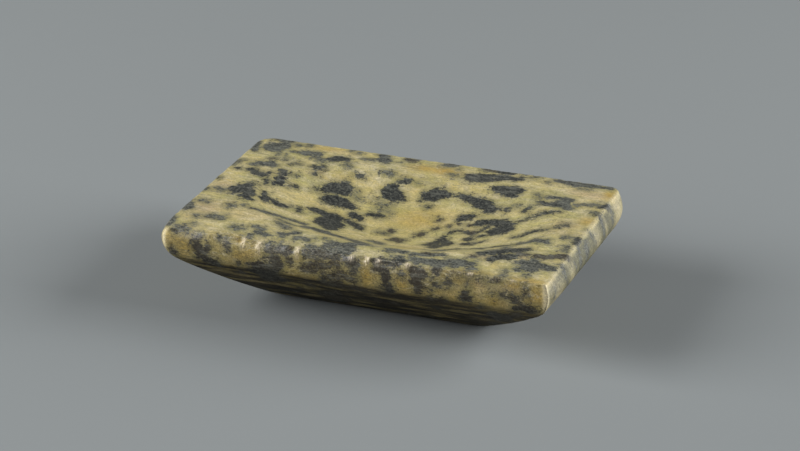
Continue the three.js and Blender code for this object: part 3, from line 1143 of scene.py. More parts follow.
GAPS = flecks(
    Face.TOP, Tone.CHARCOAL, 1.0,
    ((-17.6, 6.9, 0.1), (-14.4, 7.3, 0.2)),
    ((11.2, -4.6, 0.15), (12.0, -6.2, 0.15)),
    ((18.9, 2.9, 0.6),),
    ((13.7, 21.0, 0.35),),
    ((22.8, -22.0, 0.2), (24.6, -22.0, 0.2)),
    ((-5.2, 13.6, 0.3),),
    ((-21.8, 11.9, 0.4),),
    ((14.4, 6.8, 0.3),),
)


@dataclass(frozen=True)
class Tint:
    """A soft patch of another tone on one face, and on the face across from it.

    It has the two coordinates of its middle, its radius along each of them, and its strength.
    """

    face: Face
    first: float
    second: float
    across: float
    deep: float
    strength: float = 1.0


def tints(face: Face, *patches: tuple[float, ...]) -> list[Tint]:
    """Several tints of one face, each as its numbers."""
    return [Tint(face, *patch) for patch in patches]


OCHRE_TINTS = [
    *tints(
        Face.TOP,
        (3.0, 20.8, 4.0, 2.4), (-1.6, 20.6, 4.0, 2.0, 0.9), (3.0, 5.0, 6.5, 4.5, 0.6),
        (25.0, -24.3, 4.5, 1.4, 0.9), (36.0, -24.0, 5.0, 1.4, 0.9),
        (-24.5, -25.0, 5.0, 1.8, 0.9), (-24.0, 23.0, 5.0, 1.6, 0.6), (7.0, -13.0, 2.5, 4.0, 0.4),
        (-17.0, 13.0, 3.5, 2.0, 0.3), (38.8, 21.0, 1.4, 2.0, 0.9), (38.4, 6.6, 1.8, 2.4, 0.8),
        (-14.0, 0.0, 4.0, 2.0, 0.3),
    ),
    *tints(
        Face.FRONT,
        (-35.5, 15.5, 5.0, 4.5, 0.9), (-22.5, 14.5, 5.0, 3.0, 0.9), (-9.0, 14.5, 6.0, 2.5, 0.5),
        (3.2, 15.0, 2.2, 3.2, 1.0), (10.8, 15.0, 2.4, 3.4, 0.9), (22.0, 17.4, 6.0, 1.8, 1.0),
        (34.0, 17.8, 4.0, 1.4, 0.9),
        (29.8, 13.6, 3.5, 2.2, 0.8), (37.0, 15.5, 4.0, 3.5, 1.0), (19.0, 12.5, 3.0, 2.0, 0.5),
        (0.0, 14.0, 60.0, 7.0, 0.6),
    ),
]

BLUSH_TINTS = [
    *tints(
        Face.TOP,
        (-36.0, -14.5, 5.0, 4.0, 0.8), (35.0, 19.5, 5.0, 2.0, 0.8), (35.0, 3.5, 3.0, 2.2, 0.8),
        (-30.0, 1.5, 3.5, 1.6, 0.4), (24.5, -16.6, 2.6, 1.2, 0.9), (31.5, -14.3, 1.6, 0.6, 0.9),
        (-37.0, -2.5, 3.0, 3.0, 0.6), (-21.8, 12.0, 1.8, 1.6, 0.6), (15.6, 2.0, 1.6, 1.2, 0.6),
        (-27.0, -15.0, 6.0, 3.0, 0.4), (35.5, 0.0, 4.0, 2.0, 0.4),
    ),
    *tints(Face.FRONT, (26.5, 17.0, 2.0, 1.2, 0.8), (33.0, 16.8, 2.6, 1.0, 0.8),
    (20.5, 18.4, 3.0, 0.6, 0.7)),
    *tints(Face.END, (-21.0, 16.0, 3.5, 4.0, 0.6), (12.0, 12.0, 4.0, 3.0, 0.3)),
]

SCUFF_TINTS = [
    *tints(
        Face.TOP,
        (-13.0, 15.0, 2.8, 0.6, 1.0), (-12.0, 17.8, 2.0, 2.8, 0.8), (-27.0, 7.1, 0.9, 0.6, 0.9),
        (-17.8, 20.8, 2.6, 0.5, 0.9), (14.6, 6.0, 0.7, 0.6, 0.8), (-4.0, 13.9, 1.6, 0.8, 0.8),
        (-9.5, 14.5, 2.2, 1.2, 0.7), (-8.0, 19.0, 2.5, 1.0, 0.6), (3.0, -23.0, 5.5, 1.6, 0.8),
        (-30.0, -20.5, 5.0, 1.0, 0.6), (28.0, 20.5, 5.0, 1.6, 0.5), (31.0, -16.8, 0.8, 1.4, 0.6),
        (24.0, -3.5, 6.0, 2.0, 0.4), (-15.6, 2.6, 1.6, 0.5, 0.6), (-20.0, 14.6, 3.5, 0.5, 0.6),
    ),
    *tints(
        Face.END,
        (20.5, 15.5, 4.5, 7.0, 1.0), (4.5, 16.0, 2.0, 5.0, 0.8), (-11.5, 15.5, 2.0, 4.0, 0.7),
        (-21.0, 14.0, 4.0, 4.0, 0.6),
        (11.0, 16.0, 1.0, 4.0, 0.6),
    ),
]


@dataclass
class Mottling:
    """Lays the flecks and the tints on the finished stone, as numbers that its material reads.

    The unseen flecks are those strewn on the faces that no fleck was read on: how many there are, how
    wide and how long for their width, which way they lie, how solid they are, and how far the small
    ones outnumber the large. The read ones lie on the top, and on the band at the front and the right
    end. tint_facing is how squarely a point has to face a tint for none of it and for all of it.
    """

    seen: list[Fleck] = field(default_factory=lambda: [
        *BACK_LEFT_FLECKS, *BACK_RIGHT_FLECKS, *DISH_FLECKS, *FRONT_LEFT_FLECKS, *FRONT_RIGHT_FLECKS,
        *BAND_FLECKS, *END_FLECKS,
    ])
    gaps: list[Fleck] = field(default_factory=lambda: GAPS)
    unseen_count: int = 190
    unseen_size: tuple[float, float] = (0.4, 1.9)
    unseen_span: tuple[float, float] = (0.5, 3.0)
    unseen_body: tuple[float, float] = (0.5, 1.0)
    unseen_way: Triple = (1.0, 0.6, 0.6)
    unseen_fewness: float = 1.6
    disc_sizes: tuple[float, float] = (0.6, 1.1)
    seed: int = 11
    farthest: float = 5.0
    top_facing: float = 0.4
    band_foot: float = 12.0
    band_front: float = -23.0
    band_end: float = 38.0
    tint_facing: tuple[float, float] = (0.3, 0.7)
    tints: dict[str, list[Tint]] = field(default_factory=lambda: {
        "ochre": OCHRE_TINTS, "blush": BLUSH_TINTS, "scuff": SCUFF_TINTS,
    })

    def dress(self, stone: bpy.types.Object) -> None:
        """Works out each point's numbers and keeps them with the mesh.

        Args:
            stone: the finished palette.
        """
        mesh = stone.data
        places = self._read(mesh, "co") / METRES
        normals = self._read(mesh, "normal")
        surface = BVHTree.FromPolygons([v.co for v in mesh.vertices], [p.vertices for p in mesh.polygons])
        kept = {name: np.zeros(len(places)) for name in ("body", "slate", "umber")}
        clast = np.full(len(places), -self.farthest)
        for fleck, discs in [*self._laid(surface, self.seen), *self._strewn(surface, mesh)]:
            inside = self._inside(places, discs)
            nearer = inside > clast
            clast[nearer] = inside[nearer]
            for name, value in zip(kept, (fleck.body, *fleck.tone.value)):
                kept[name][nearer] = value
        for _, discs in self._laid(surface, self.gaps):
            clast = np.minimum(clast, -self._inside(places, discs))
        for name, patches in self.tints.items():
            kept[name] = self._tinted(places, normals, patches)
        for name, values in {"clast": clast, **kept}.items():
            mesh.attributes.new(name, "FLOAT", "POINT").data.foreach_set("value", values.astype(np.float32))

    def _read(self, mesh: bpy.types.Mesh, name: str) -> np.ndarray:
        """One vector of each point of the mesh.

        Args:
            mesh: the mesh.
            name: co for the places, and normal for the normals.

        Returns:
            The vectors, one to a row.
        """
        values = np.empty(len(mesh.vertices) * 3, np.float32)
        mesh.vertices.foreach_get(name, values)
        return values.reshape(-1, 3).astype(float)

    def _laid(self, surface: BVHTree, read: list[Fleck]) -> list[tuple[Fleck, np.ndarray]]:
        """Flecks that were read on a face, laid on the surface.

        Args:
            surface: the finished palette.
            read: the flecks.

        Returns:
            Each fleck with rows of x, y, z and radius.
        """
        laid = []
        for fleck in read:
            rows = []
            for first, second, radius in fleck.discs:
                hit = surface.ray_cast(fleck.face.point(first, second), fleck.face.way_in())[0]
                if hit is not None:
                    rows.append((*(hit / METRES), radius))
            if rows:
                laid.append((fleck, np.array(rows)))
        return laid

    def _strewn(self, surface: BVHTree, mesh: bpy.types.Mesh) -> list[tuple[Fleck, np.ndarray]]:
        """Flecks strewn over the faces that no other fleck was read on.

        Args:
            surface: the finished palette.
            mesh: its mesh, whose points they start from.

        Returns:
            Each fleck with rows of x, y, z and radius.
        """
        rng = np.random.default_rng(self.seed)
        tones = list(Tone)
        small, large = self.unseen_size
        laid = []
        while len(laid) < self.unseen_count:
            start = mesh.vertices[int(rng.integers(len(mesh.vertices)))]
            way = Vector(rng.normal(size=3) * self.unseen_way).normalized()
            radius = small + (large - small) * rng.random() ** self.unseen_fewness
            span = radius * rng.uniform(*self.unseen_span)
            tone = tones[int(rng.integers(len(tones)))]
            fleck = Fleck(Face.TOP, tone, rng.uniform(*self.unseen_body), ())
            if self._is_read(start):
                continue
            rows = []
            for step in (-0.5, 0.0, 0.5):
                near = surface.find_nearest(start.co + way * span * step * METRES)[0]
                rows.append((*(near / METRES), radius * rng.uniform(*self.disc_sizes)))
            laid.append((fleck, np.array(rows)))
        return laid

    def _is_read(self, point: bpy.types.MeshVertex) -> bool:
        """Whether a point lies on a face whose flecks were read, and so takes no strewn one."""
        x, y, z = point.co / METRES
        on_top = point.normal.z > self.top_facing
        on_band = z > self.band_foot and (y < self.band_front or x > self.band_end)
        return on_top or on_band

    def _inside(self, places: np.ndarray, discs: np.ndarray) -> np.ndarray:
        """How far each point lies inside a fleck, in millimetres, and below zero outside it.

        Args:
            places: the points.
            discs: rows of x, y, z and radius along the fleck.

        Returns:
            The distances.
        """
        deepest = np.full(len(places), -self.farthest)
        for first, last in zip(discs, discs[1:] if len(discs) > 1 else discs):
            along = last[:3] - first[:3]
            off = places - first[:3]
            share = np.clip(off @ along / max(along @ along, 1e-6), 0, 1)
            far = np.linalg.norm(off - share[:, None] * along, axis=1)
            deepest = np.maximum(deepest, first[3] + (last[3] - first[3]) * share - far)
        return deepest

    def _tinted(self, places: np.ndarray, normals: np.ndarray, patches: list[Tint]) -> np.ndarray:
        """How much of one tint each point has.

        Args:
            places: the points.
            normals: the way that each faces.
            patches: the tint's soft patches.

        Returns:
            The strengths, from 0 to 1.
        """
        total = np.zeros(len(places))
        none, whole = self.tint_facing
        for patch in patches:
            first, second = ("xyz".index(name) for name in patch.face.value[:2])
            squareness = np.abs(normals @ np.array(patch.face.value[2]))
            facing = np.clip((squareness - none) / (whole - none), 0, 1)
            far = ((places[:, first] - patch.first) / patch.across) ** 2
            far += ((places[:, second] - patch.second) / patch.deep) ** 2
            total = np.maximum(total, patch.strength * facing * np.exp(-far))
        return total


DRAWN_OUT = (0.5, 1.0, 1.0)


@dataclass(frozen=True)
class Edge:
    """How something comes in round the outline of a fleck.

    start and full are how far inside the outline it begins and is whole, in millimetres. lobes and
    rags are how far the broad and the fine noise push the outline about.
    """

    start: float
    full: float
    lobes: float
    rags: float = 0.0
    smooth: bool = True


@dataclass(frozen=True)
class Layer:
    """A colour laid over those before it.

    It lies where its pattern is, which is noise or a number of the point, by name. strength is how
    much of it there is, and changes what each number of the point adds to that where it is 1.
    """

    colour: Colour
    pattern: Grain | str
    strength: float
    changes: dict[str, float] = field(default_factory=dict)


class StoneTree(Tree):
    """The shader tree of the stone, with what it knows of each point."""

    KEPT = ("clast", "body", "slate", "umber", "ochre", "blush", "scuff", "bruise", "hollow", "from_edge")
    BAND = (24.2, 25.0)
    END = (40.05, 40.5)
    LOBES = Grain(2.2, detail=3.0, roughness=0.55)
    RAGS = Grain(0.75, detail=3.0, roughness=0.60, drawn=(0.38, 1.0, 1.0))

    def __init__(self, written: bpy.types.NodeTree) -> None:
        """Starts the tree with each point's place, in millimetres, and its numbers.

        The numbers are those that the mesh keeps, and whether the point is on the front's band or on
        an end. lobes and rags are noise about nought, which shapes the outlines of the flecks.
        """
        super().__init__(written)
        self.place = self.out(self.add("ShaderNodeTexCoord"), "Object") * (1 / METRES)
        self.across, self.back, self.up = self.split(self.place)
        self.outward = self.across * 0.01 - self.back
        self.kept = {name: self._recall(name) for name in self.KEPT}
        self.kept["band"] = self.share(self.outward, *self.BAND)
        self.kept["end"] = self.share(self.size_of(self.across), *self.END)
        self.lobes = self.grain(self.LOBES) - 0.5
        self.rags = self.grain(self.RAGS) - 0.5

    def _recall(self, name: str) -> Flow:
        """A number that is kept with each point of the mesh."""
        node = self.add("ShaderNodeAttribute", attribute_name=name, attribute_type="GEOMETRY")
        return self.out(node, "Fac")

    def grain(self, grain: Grain) -> Flow:
        """Soft noise at the point."""
        return self.noise(self.place, grain)

    def strength(self, plain: float, **changes: float) -> Flow | float:
        """A strength that depends on the point's numbers.

        Args:
            plain: the strength where they are all 0.
            changes: what each adds where it is 1, by name.

        Returns:
            The strength.
        """
        for name, change in changes.items():
            plain = plain + self.kept[name] * change
        return plain

    def within(self, edge: Edge) -> Flow:
        """How far the point has come in over an edge of the flecks, from 0 to 1."""
        inside = self.kept["clast"] + self.lobes * edge.lobes + self.rags * edge.rags
        return self.share(inside, edge.start, edge.full, edge.smooth)

    def lay(self, colour: Flow | Colour, *layers: Layer) -> Flow:
        """Lays colours over one another.

        Args:
            colour: the colour that they are laid on.
            layers: the layers, from the lowest up.

        Returns:
            The colour that is seen.
        """
        for layer in layers:
            is_noise = isinstance(layer.pattern, Grain)
            pattern = self.grain(layer.pattern) if is_noise else self.kept[layer.pattern]
            share = pattern * self.strength(layer.strength, **layer.changes)
            colour = self.mix(share, colour, layer.colour)
        return colour

    def mix(self, share: Value, first: Flow | Colour, second: Flow | Colour) -> Flow:
        """A colour between two.

        Args:
            share: how much of the second there is.
            first: the first colour.
            second: the second one.

        Returns:
            The mixed colour.
        """
        pair = [colour if isinstance(colour, Flow) else (*colour, 1.0) for colour in (first, second)]
        return self.out(self.add("ShaderNodeMix", {0: share, 6: pair[0], 7: pair[1]}, data_type="RGBA"), 2)

    def veins(self, apart: float, width: float, shift: Triple = (0.0, 0.0, 0.0)) -> Flow:
        """Thin winding lines, 1 along their middle and 0 beside them, which come and go.

        Args:
            apart: how far apart they lie.
            width: how wide they are, as a share of the noise's range.
            shift: how far they are moved, to part them from others.

        Returns:
            Their strength.
        """
        winding = self.grain(Grain(apart, roughness=0.45, drawn=DRAWN_OUT, shift=shift, warp=0.7))
        coming = self.grain(Grain(apart * 2.2, (0.44, 0.58), detail=1.0, drawn=DRAWN_OUT, shift=shift))
        return (1.0 - self.share(self.size_of(winding - 0.5), 0.0, width, smooth=True)) * coming


@dataclass(frozen=True)
class StoneFinish:
    """The polished mottled stone: its colours, the grain of its patterns, and its polish."""

    cream: Colour = (0.56, 0.465, 0.190)
    olive: Colour = (0.465, 0.43, 0.165)
    moss: Colour = (0.165, 0.163, 0.086)
    pale: Colour = (0.62, 0.55, 0.36)
    ochre: Colour = (0.42, 0.275, 0.048)
    blush: Colour = (0.52, 0.38, 0.24)
    # The ends' tone, greenish grey and darker than their stone partly as painted shade.
    sage: Colour = (0.32, 0.32, 0.205)
    # Darkens the slopes, most towards the base, where it is painted shade.
    earth: Colour = (0.075, 0.062, 0.032)
    # The painted shade of the scars' hollows.
    recess: Colour = (0.10, 0.074, 0.032)
    charcoal: Colour = (0.012, 0.0145, 0.016)
    slate: Colour = (0.115, 0.123, 0.105)
    umber: Colour = (0.060, 0.047, 0.030)
    grit: Colour = (0.24, 0.245, 0.20)
    # The crushed white of the scars, with their painted highlight, and of the dots along the top edge.
    crystal: Colour = (0.78, 0.66, 0.47)

    # Where a fleck, the halo of specks round it and its soft shade come in, and what counts as
    # pale and as dark once the specks are taken off.
    flecks: Edge = Edge(-0.95, 0.60, lobes=1.5, rags=2.5)
    halo: Edge = Edge(-2.6, -0.1, lobes=3.6, rags=2.0, smooth=False)
    shade: Edge = Edge(-2.3, 0.3, lobes=3.0)
    speckled: tuple[float, float] = (-0.12, 0.40)

    # The patterns of the stone, and how far apart its veins and threads lie and how wide they are.
    patches: Grain = Grain(1.3, (0.42, 0.70), detail=3.0, roughness=0.6)
    smudges: Grain = Grain(2.0, (0.55, 0.76), detail=3.0, roughness=0.6)
    specks: Grain = Grain(0.33, (0.28, 0.74), roughness=0.7, drawn=(0.6, 1.0, 1.0))
    broad: Grain = Grain(5.0, (0.38, 0.66), detail=3.0, drawn=DRAWN_OUT, warp=0.6)
    clouds: Grain = Grain(1.3, (0.42, 0.68), detail=4.0, roughness=0.62, drawn=DRAWN_OUT)
    smoke: Grain = Grain(2.4, (0.50, 0.70), detail=4.0, roughness=0.68, drawn=DRAWN_OUT)
    streaks: Grain = Grain(0.8, (0.46, 0.62), detail=3.0, roughness=0.62, drawn=(0.16, 1.0, 2.4))
    streaky_places: Grain = Grain(5.0, (0.42, 0.60), drawn=DRAWN_OUT)
    rubs: Grain = Grain(0.9, (0.40, 0.62), detail=3.0, roughness=0.65)
    seams: Grain = Grain(0.9, detail=4.0, roughness=0.62, drawn=(0.10, 0.55, 0.55))
    coarse: Grain = Grain(0.55, (0.30, 0.70), detail=3.0, roughness=0.7)
    fine: Grain = Grain(0.28, (0.32, 0.68), detail=1.0)
    worn_flecks: Grain = Grain(1.2, (0.34, 0.66), detail=3.0, roughness=0.6)
    fleck_grit: Grain = Grain(0.40, (0.46, 0.64), detail=3.0, roughness=0.75, drawn=(0.8, 1.0, 1.0))
    fleck_strokes: Grain = Grain(
        0.7, (0.50, 0.66), detail=4.0, roughness=0.7, drawn=(0.24, 1.0, 1.0), shift=(7.0, 3.0, 9.0),
    )
    shards: Grain = Grain(0.6, (0.42, 0.58), detail=3.0, roughness=0.7, drawn=(2.0, 1.0, 0.5))
    dots: Grain = Grain(0.34, (0.57, 0.70))
    dull_places: Grain = Grain(0.9, detail=3.0)
    relief: Grain = Grain(0.3, detail=3.0, roughness=0.6)
    pores: Grain = Grain(0.5, (0.66, 0.78))
    moss_veins: tuple[float, float] = (3.4, 0.028)
    pale_threads: tuple[float, float] = (2.1, 0.022)
    thread_shift: Triple = (31.0, 17.0, 5.0)

    # Where things begin and are whole, in millimetres: heights on the slopes, places along and
    # across the palette, and distances from its top edge. The seams' are in the noise.
    slope_top: tuple[float, float] = (11.0, 12.5)
    # slope_foot is where the painted shade towards the base fades out.
    slope_foot: tuple[float, float] = (1.0, 9.0)
    earth_seams: tuple[float, float] = (0.34, 0.56)
    dark_seams: tuple[float, float] = (0.43, 0.62)
    front_edge: tuple[float, float] = (22.0, 24.5)
    left_part: tuple[float, float] = (26.0, 34.0)
    streaky_left: tuple[float, float] = (24.0, 34.0)
    near_wall: tuple[float, float] = (6.0, 11.0)
    # Where the painted highlights down the front corners and along the right end's top edge lie.
    corner_highlight_across: tuple[float, float] = (39.1, 39.8)
    corner_highlight_outward: tuple[float, float] = (24.3, 24.9)
    rim_highlight_across: tuple[float, float] = (39.0, 39.6)
    rim_highlight_reach: tuple[float, float] = (0.1, 0.7)
    dot_reach: tuple[float, float] = (0.3, 4.5)

    # The polish and the fine relief.
    roughness: float = 0.56
    dullness: float = 0.22
    dish_polish: float = 0.10
    fleck_polish: float = 0.05
    refraction: float = 1.55
    relief_depth: float = 0.06
    pore_depth: float = 0.05
    fleck_stand: float = 0.01
    facet_size: float = 0.6
    facet_depth: float = 0.35
    relief_strength: float = 0.7

    def material(self) -> bpy.types.Material:
        """Makes the material.

        Returns:
            A material whose colour, roughness and relief come from its nodes.
        """
        made = bpy.data.materials.new("mottled_stone")
        made.use_nodes = True
        made.node_tree.nodes.clear()
        tree = StoneTree(made.node_tree)
        dark = self._dark(tree)
        shader = tree.add("ShaderNodeBsdfPrincipled", {
            "Base Color": self._bruised(tree, tree.mix(dark, self._ground(tree), self._fleck(tree))),
            "Roughness": self._roughness(tree, dark),
            "IOR": self.refraction,
            "Normal": self._relief(tree, dark),
        })
        tree.add("ShaderNodeOutputMaterial", {"Surface": shader.outputs[0]})
        return made

    def _dark(self, tree: StoneTree) -> Flow:
        """How much of each point is dark fleck.

        Args:
            tree: the stone's tree.

        Returns:
            The share, 1 in a fleck and 0 in the pale ground, with feathered and speckled edges.
        """
        packed = tree.within(self.flecks) * tree.strength(0.26, body=0.76)
        halo = tree.within(self.halo) * (tree.grain(self.patches) * 0.56 + 0.12)
        rubbed = tree.strength(1.0, hollow=-0.7) * tree.strength(0.24, band=-0.08)
        smudges = tree.grain(self.smudges) * rubbed
        crowd = tree.larger(tree.larger(packed, halo), smudges) + 0.04
        crowd = crowd * tree.strength(1.0, band=-0.08, end=-0.12)
        return tree.share(crowd - tree.grain(self.specks) * 0.70, *self.speckled, smooth=True)

    def _ground(self, tree: StoneTree) -> Flow:
        """The pale stone between the flecks, with painted shade on the band, the ends and a little of the
        dish, and painted highlights down the front corners and along the right end's top edge.

        Args:
            tree: the stone's tree.

        Returns:
            Its colour.
        """
        kept = tree.kept
        low = 1.0 - tree.share(tree.up, *self.slope_top, smooth=True)
        colour = tree.lay(
            self.cream,
            Layer(self.olive, self.broad, 0.8),
            Layer(self.pale, self.clouds, 0.70, {"hollow": -0.25}),
            Layer(self.blush, "blush", 0.75),
            Layer(self.ochre, "ochre", 0.9),
            # The ends' greenish-grey sage tone, darker than their stone partly as painted shade.
            Layer(self.sage, "end", 0.75, {"scuff": -0.55}),
        )
        colour = tree.mix(self._shaded(tree), colour, self.moss)
        colour = tree.mix(self._rubbed(tree), colour, self.pale)
        colour = self._sloped(tree, low, colour)
        # Painted highlights: a pale stripe down the front corner of each end, and a pale line along the
        # right end's top edge, kept off the slopes.
        at_end = tree.share(tree.size_of(tree.across), *self.corner_highlight_across)
        corner = at_end * tree.share(tree.outward, *self.corner_highlight_outward)
        painted_rim_highlight = 1.0 - tree.share(kept["from_edge"], *self.rim_highlight_reach)
        painted_rim_highlight = painted_rim_highlight * tree.share(tree.across, *self.rim_highlight_across)
        colour = tree.mix(tree.larger(corner * 0.8, painted_rim_highlight * 0.3) * (1.0 - low), colour, self.pale)
        # Painted shade: the band, the ends (less where scuffed) and a little of the dish are made darker,
        # while the front corners keep most of their light.
        painted_shade = kept["band"] * 0.22 + kept["end"] * tree.strength(0.56, scuff=-0.28)
        painted_shade = painted_shade * (1.0 - corner * 0.9) + kept["hollow"] * 0.04
        coarse = tree.grain(self.coarse) * tree.strength(0.44, band=0.24)
        fine = tree.grain(self.fine) * tree.strength(0.22, band=0.26)
        return colour * (coarse + fine + 0.70 - painted_shade)

    def _shaded(self, tree: StoneTree) -> Flow:
        """How far smoke, veins and fine streaks darken the pale stone.

        Args:
            tree: the stone's tree.

        Returns:
            The share. It is strongest round the flecks, and the streaks lie on the dish's near wall
            and here and there on the border.
        """
        smoke = tree.grain(self.smoke) * tree.strength(0.55, hollow=-0.38)
        near_wall = tree.share(-tree.back, *self.near_wall) * tree.share(tree.kept["hollow"], 0.0, 0.12)
        strewn = tree.grain(self.streaky_places) + tree.share(-tree.across, *self.streaky_left) * 0.6
        strewn = tree.smaller(strewn, 1.0) * tree.strength(0.9, hollow=-0.7)
        streaks = tree.grain(self.streaks) * tree.larger(near_wall, strewn * 0.85) * 0.75
        shaded = tree.within(self.shade) * 0.72
        for darker in (smoke, tree.veins(*self.moss_veins) * 0.6, streaks):
            shaded = tree.larger(shaded, darker)
        return shaded

    def _rubbed(self, tree: StoneTree) -> Flow:
        """How far scuffs and pale threads lighten the stone."""
        scuff = tree.kept["scuff"]
        threads = tree.veins(*self.pale_threads, self.thread_shift) * tree.strength(0.75, hollow=-0.5)
        rubbed = tree.larger(tree.grain(self.rubs) * scuff, tree.share(scuff, 0.6, 1.0) * 0.7)
        return tree.larger(rubbed * 0.85, threads * 0.7)

    def _sloped(self, tree: StoneTree, low: Flow, colour: Flow) -> Flow:
        """Darkens the slopes below the band with long dark and charcoal seams, more towards the base, where
        it is painted shade.

        Args:
            tree: the stone's tree.
            low: 1 on the slopes and 0 above them.
            colour: the colour without the seams.

        Returns:
            The colour with them.
        """
        # Painted shade: the seams thicken towards the base, where the slope meets the floor.
        deep = 1.0 - tree.share(tree.up, *self.slope_foot)
        seams = tree.grain(self.seams) + deep * 0.07
        earth = tree.share(seams, *self.earth_seams) * 0.72 + 0.18
        colour = tree.mix(low * earth, colour, self.earth)
        return tree.mix(low * tree.share(seams, *self.dark_seams) * 0.90, colour, self.charcoal)

    def _fleck(self, tree: StoneTree) -> Flow:
        """The dark stone in the flecks.

        Args:
            tree: the stone's tree.

        Returns:
            Its colour.
        """
        return tree.lay(
            self.charcoal,
            Layer(self.slate, self.worn_flecks, 0.12, {"slate": 0.5}),
            Layer(self.umber, "umber", 0.7),
            Layer(self.grit, self.fleck_grit, 0.50, {"slate": 0.30, "hollow": -0.08}),
            Layer(self.umber, "band", 0.6),
            Layer(self.grit, self.fleck_strokes, 0.55, {"hollow": -0.50}),
        )

    def _bruised(self, tree: StoneTree, colour: Flow) -> Flow:
        """Lightens the crushed crystals in the scars, with a painted highlight on their right flanks, and
        dots of them along the worn top edge.

        Args:
            tree: the stone's tree.
            colour: the colour without bruises.

        Returns:
            The colour with them, and with painted shade in the scars' hollows.
        """
        bruise = tree.kept["bruise"]
        near_edge = 1.0 - tree.share(tree.kept["from_edge"], *self.dot_reach)
        dots = tree.grain(self.dots) * near_edge * tree.share(-tree.back, *self.front_edge)
        dots = dots * (1.0 - tree.share(-tree.across, *self.left_part) * 0.5)
        shards = tree.share(bruise, 0.0, 0.8) * (tree.grain(self.shards) * 0.75 + 0.20)
        # Painted shade darkens the scars' hollows, and the crushed white of their right flanks carries a
        # painted highlight.
        colour = tree.mix(tree.share(-bruise, 0.0, 0.6) * 0.7, colour, self.recess)
        return tree.mix(tree.larger(shards, dots * 0.32), colour, self.crystal)

    def _roughness(self, tree: StoneTree, dark: Flow) -> Flow:
        """How dull each point is, where dark is how much of it is fleck."""
        uneven = (tree.grain(self.dull_places) - 0.5) * self.dullness
        polish = tree.kept["hollow"] * self.dish_polish + dark * self.fleck_polish
        return self.roughness + uneven - polish

    def _relief(self, tree: StoneTree, dark: Flow) -> Flow:
        """The fine relief: grain, pores, crushed facets and the flecks' slight stand.

        Args:
            tree: the stone's tree.
            dark: how much of the point is fleck.

        Returns:
            The normal.
        """
        rough = tree.strength(1.0, hollow=-0.5)
        facets = tree.out(tree.cells(tree.place, self.facet_size), "Distance")
        crushed = facets * tree.size_of(tree.kept["bruise"]) * self.facet_depth
        grain = tree.grain(self.relief) * rough * self.relief_depth
        pores = tree.grain(self.pores) * self.pore_depth
        height = grain - pores + dark * self.fleck_stand + crushed
        values = {"Strength": self.relief_strength, "Distance": METRES, "Height": height}
        return tree.out(tree.add("ShaderNodeBump", values))


@dataclass(frozen=True)
class Lamp:
    """A soft square lamp: where it hangs from the stone, how wide it is and how strong."""

    name: str
    turn: float
    rise: float
    far: float
    width: float
    power: float


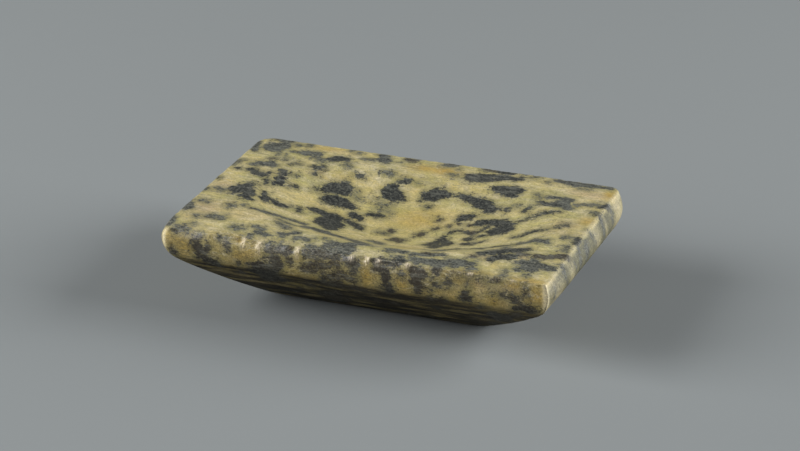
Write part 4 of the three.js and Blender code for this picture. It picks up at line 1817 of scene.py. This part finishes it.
@dataclass
class Studio:
    """The pale floor, the soft lamps and the camera at the photograph's viewing angle."""

    floor_colour: Colour = (0.272, 0.293, 0.298)
    floor_bounce: Colour = (0.11, 0.11, 0.10)
    floor_reach: float = 3.0
    floor_roughness: float = 0.85
    floor_shine: float = 0.2
    world_light: float = 0.045
    lamps: tuple[Lamp, ...] = (
        Lamp("left", turn=-86.0, rise=24.5, far=1.1, width=0.68, power=16.3),
        Lamp("right", turn=88.0, rise=21.6, far=1.1, width=0.80, power=17.3),
    )
    camera_place: Triple = (0.17685, -0.46103, 0.23531)
    camera_pitch: float = 24.09
    camera_yaw: float = 20.88
    lens: float = 120.0
    sensor: float = 36.0
    nearest: float = 0.01

    def build(self) -> None:
        """Sets up the camera, the floor, the lamps and the world."""
        self._camera()
        self._floor()
        for lamp in self.lamps:
            self._lamp(lamp)
        self._world()
        bpy.context.scene.view_settings.view_transform = "Standard"

    def _camera(self) -> None:
        """Puts the camera where the photograph was taken from."""
        data = bpy.data.cameras.new("camera")
        data.lens = self.lens
        data.sensor_width = self.sensor
        data.clip_start = self.nearest
        camera = bpy.data.objects.new("camera", data)
        camera.location = self.camera_place
        turned = (math.radians(90 - self.camera_pitch), 0, math.radians(self.camera_yaw))
        camera.rotation_euler = Euler(turned)
        bpy.context.scene.collection.objects.link(camera)
        bpy.context.scene.camera = camera

    def _floor(self) -> None:
        """Lays a plain pale floor under the stone, which throws little light back up at it."""
        mesh = bpy.data.meshes.new("floor")
        far = self.floor_reach
        corners = [(-far, -far, 0), (far, -far, 0), (far, far, 0), (-far, far, 0)]
        mesh.from_pydata(corners, [], [(0, 1, 2, 3)])
        floor = bpy.data.objects.new("floor", mesh)
        bpy.context.scene.collection.objects.link(floor)
        material = bpy.data.materials.new("floor")
        material.use_nodes = True
        shader = material.node_tree.nodes["Principled BSDF"]
        tree = Tree(material.node_tree)
        seen = tree.out(tree.add("ShaderNodeLightPath"), "Is Camera Ray")
        colours = {0: seen, 6: (*self.floor_bounce, 1.0), 7: (*self.floor_colour, 1.0)}
        mixed = tree.add("ShaderNodeMix", colours, data_type="RGBA")
        material.node_tree.links.new(mixed.outputs[2], shader.inputs["Base Color"])
        shader.inputs["Roughness"].default_value = self.floor_roughness
        shader.inputs["Specular IOR Level"].default_value = self.floor_shine
        mesh.materials.append(material)

    def _lamp(self, lamp: Lamp) -> None:
        """Hangs one lamp, pointed at the stone.

        Args:
            lamp: its place, size and strength. Its turn is measured from the camera's side.
        """
        data = bpy.data.lights.new(lamp.name, "AREA")
        data.size = lamp.width
        data.energy = lamp.power
        made = bpy.data.objects.new(lamp.name, data)
        turn = math.radians(self.camera_yaw - 90 + lamp.turn)
        rise = math.radians(lamp.rise)
        way = Vector((math.cos(turn) * math.cos(rise), math.sin(turn) * math.cos(rise), math.sin(rise)))
        made.location = way * lamp.far
        made.rotation_euler = way.to_track_quat("Z", "Y").to_euler()
        bpy.context.scene.collection.objects.link(made)

    def _world(self) -> None:
        """Fills the shadows with a plain even light."""
        world = bpy.data.worlds.new("world")
        world.use_nodes = True
        background = world.node_tree.nodes["Background"]
        background.inputs["Color"].default_value = (1.0, 1.0, 1.0, 1.0)
        background.inputs["Strength"].default_value = self.world_light
        bpy.context.scene.world = world


def main() -> None:
    """Builds the studio and the palette in order."""
    logging.basicConfig(level=logging.INFO, format="%(name)s: %(message)s")
    Studio().build()
    LOG.info("studio: camera, floor, lamps and world")
    stone = PaletteForm.from_frame().build(StoneFinish().material())
    LOG.info("palette: %d faces", len(stone.data.polygons))
    Mottling().dress(stone)
    LOG.info("flecks and tints laid")
    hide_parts(NODE)
    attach(stone, "root")


if __name__ == "__main__":
    main()
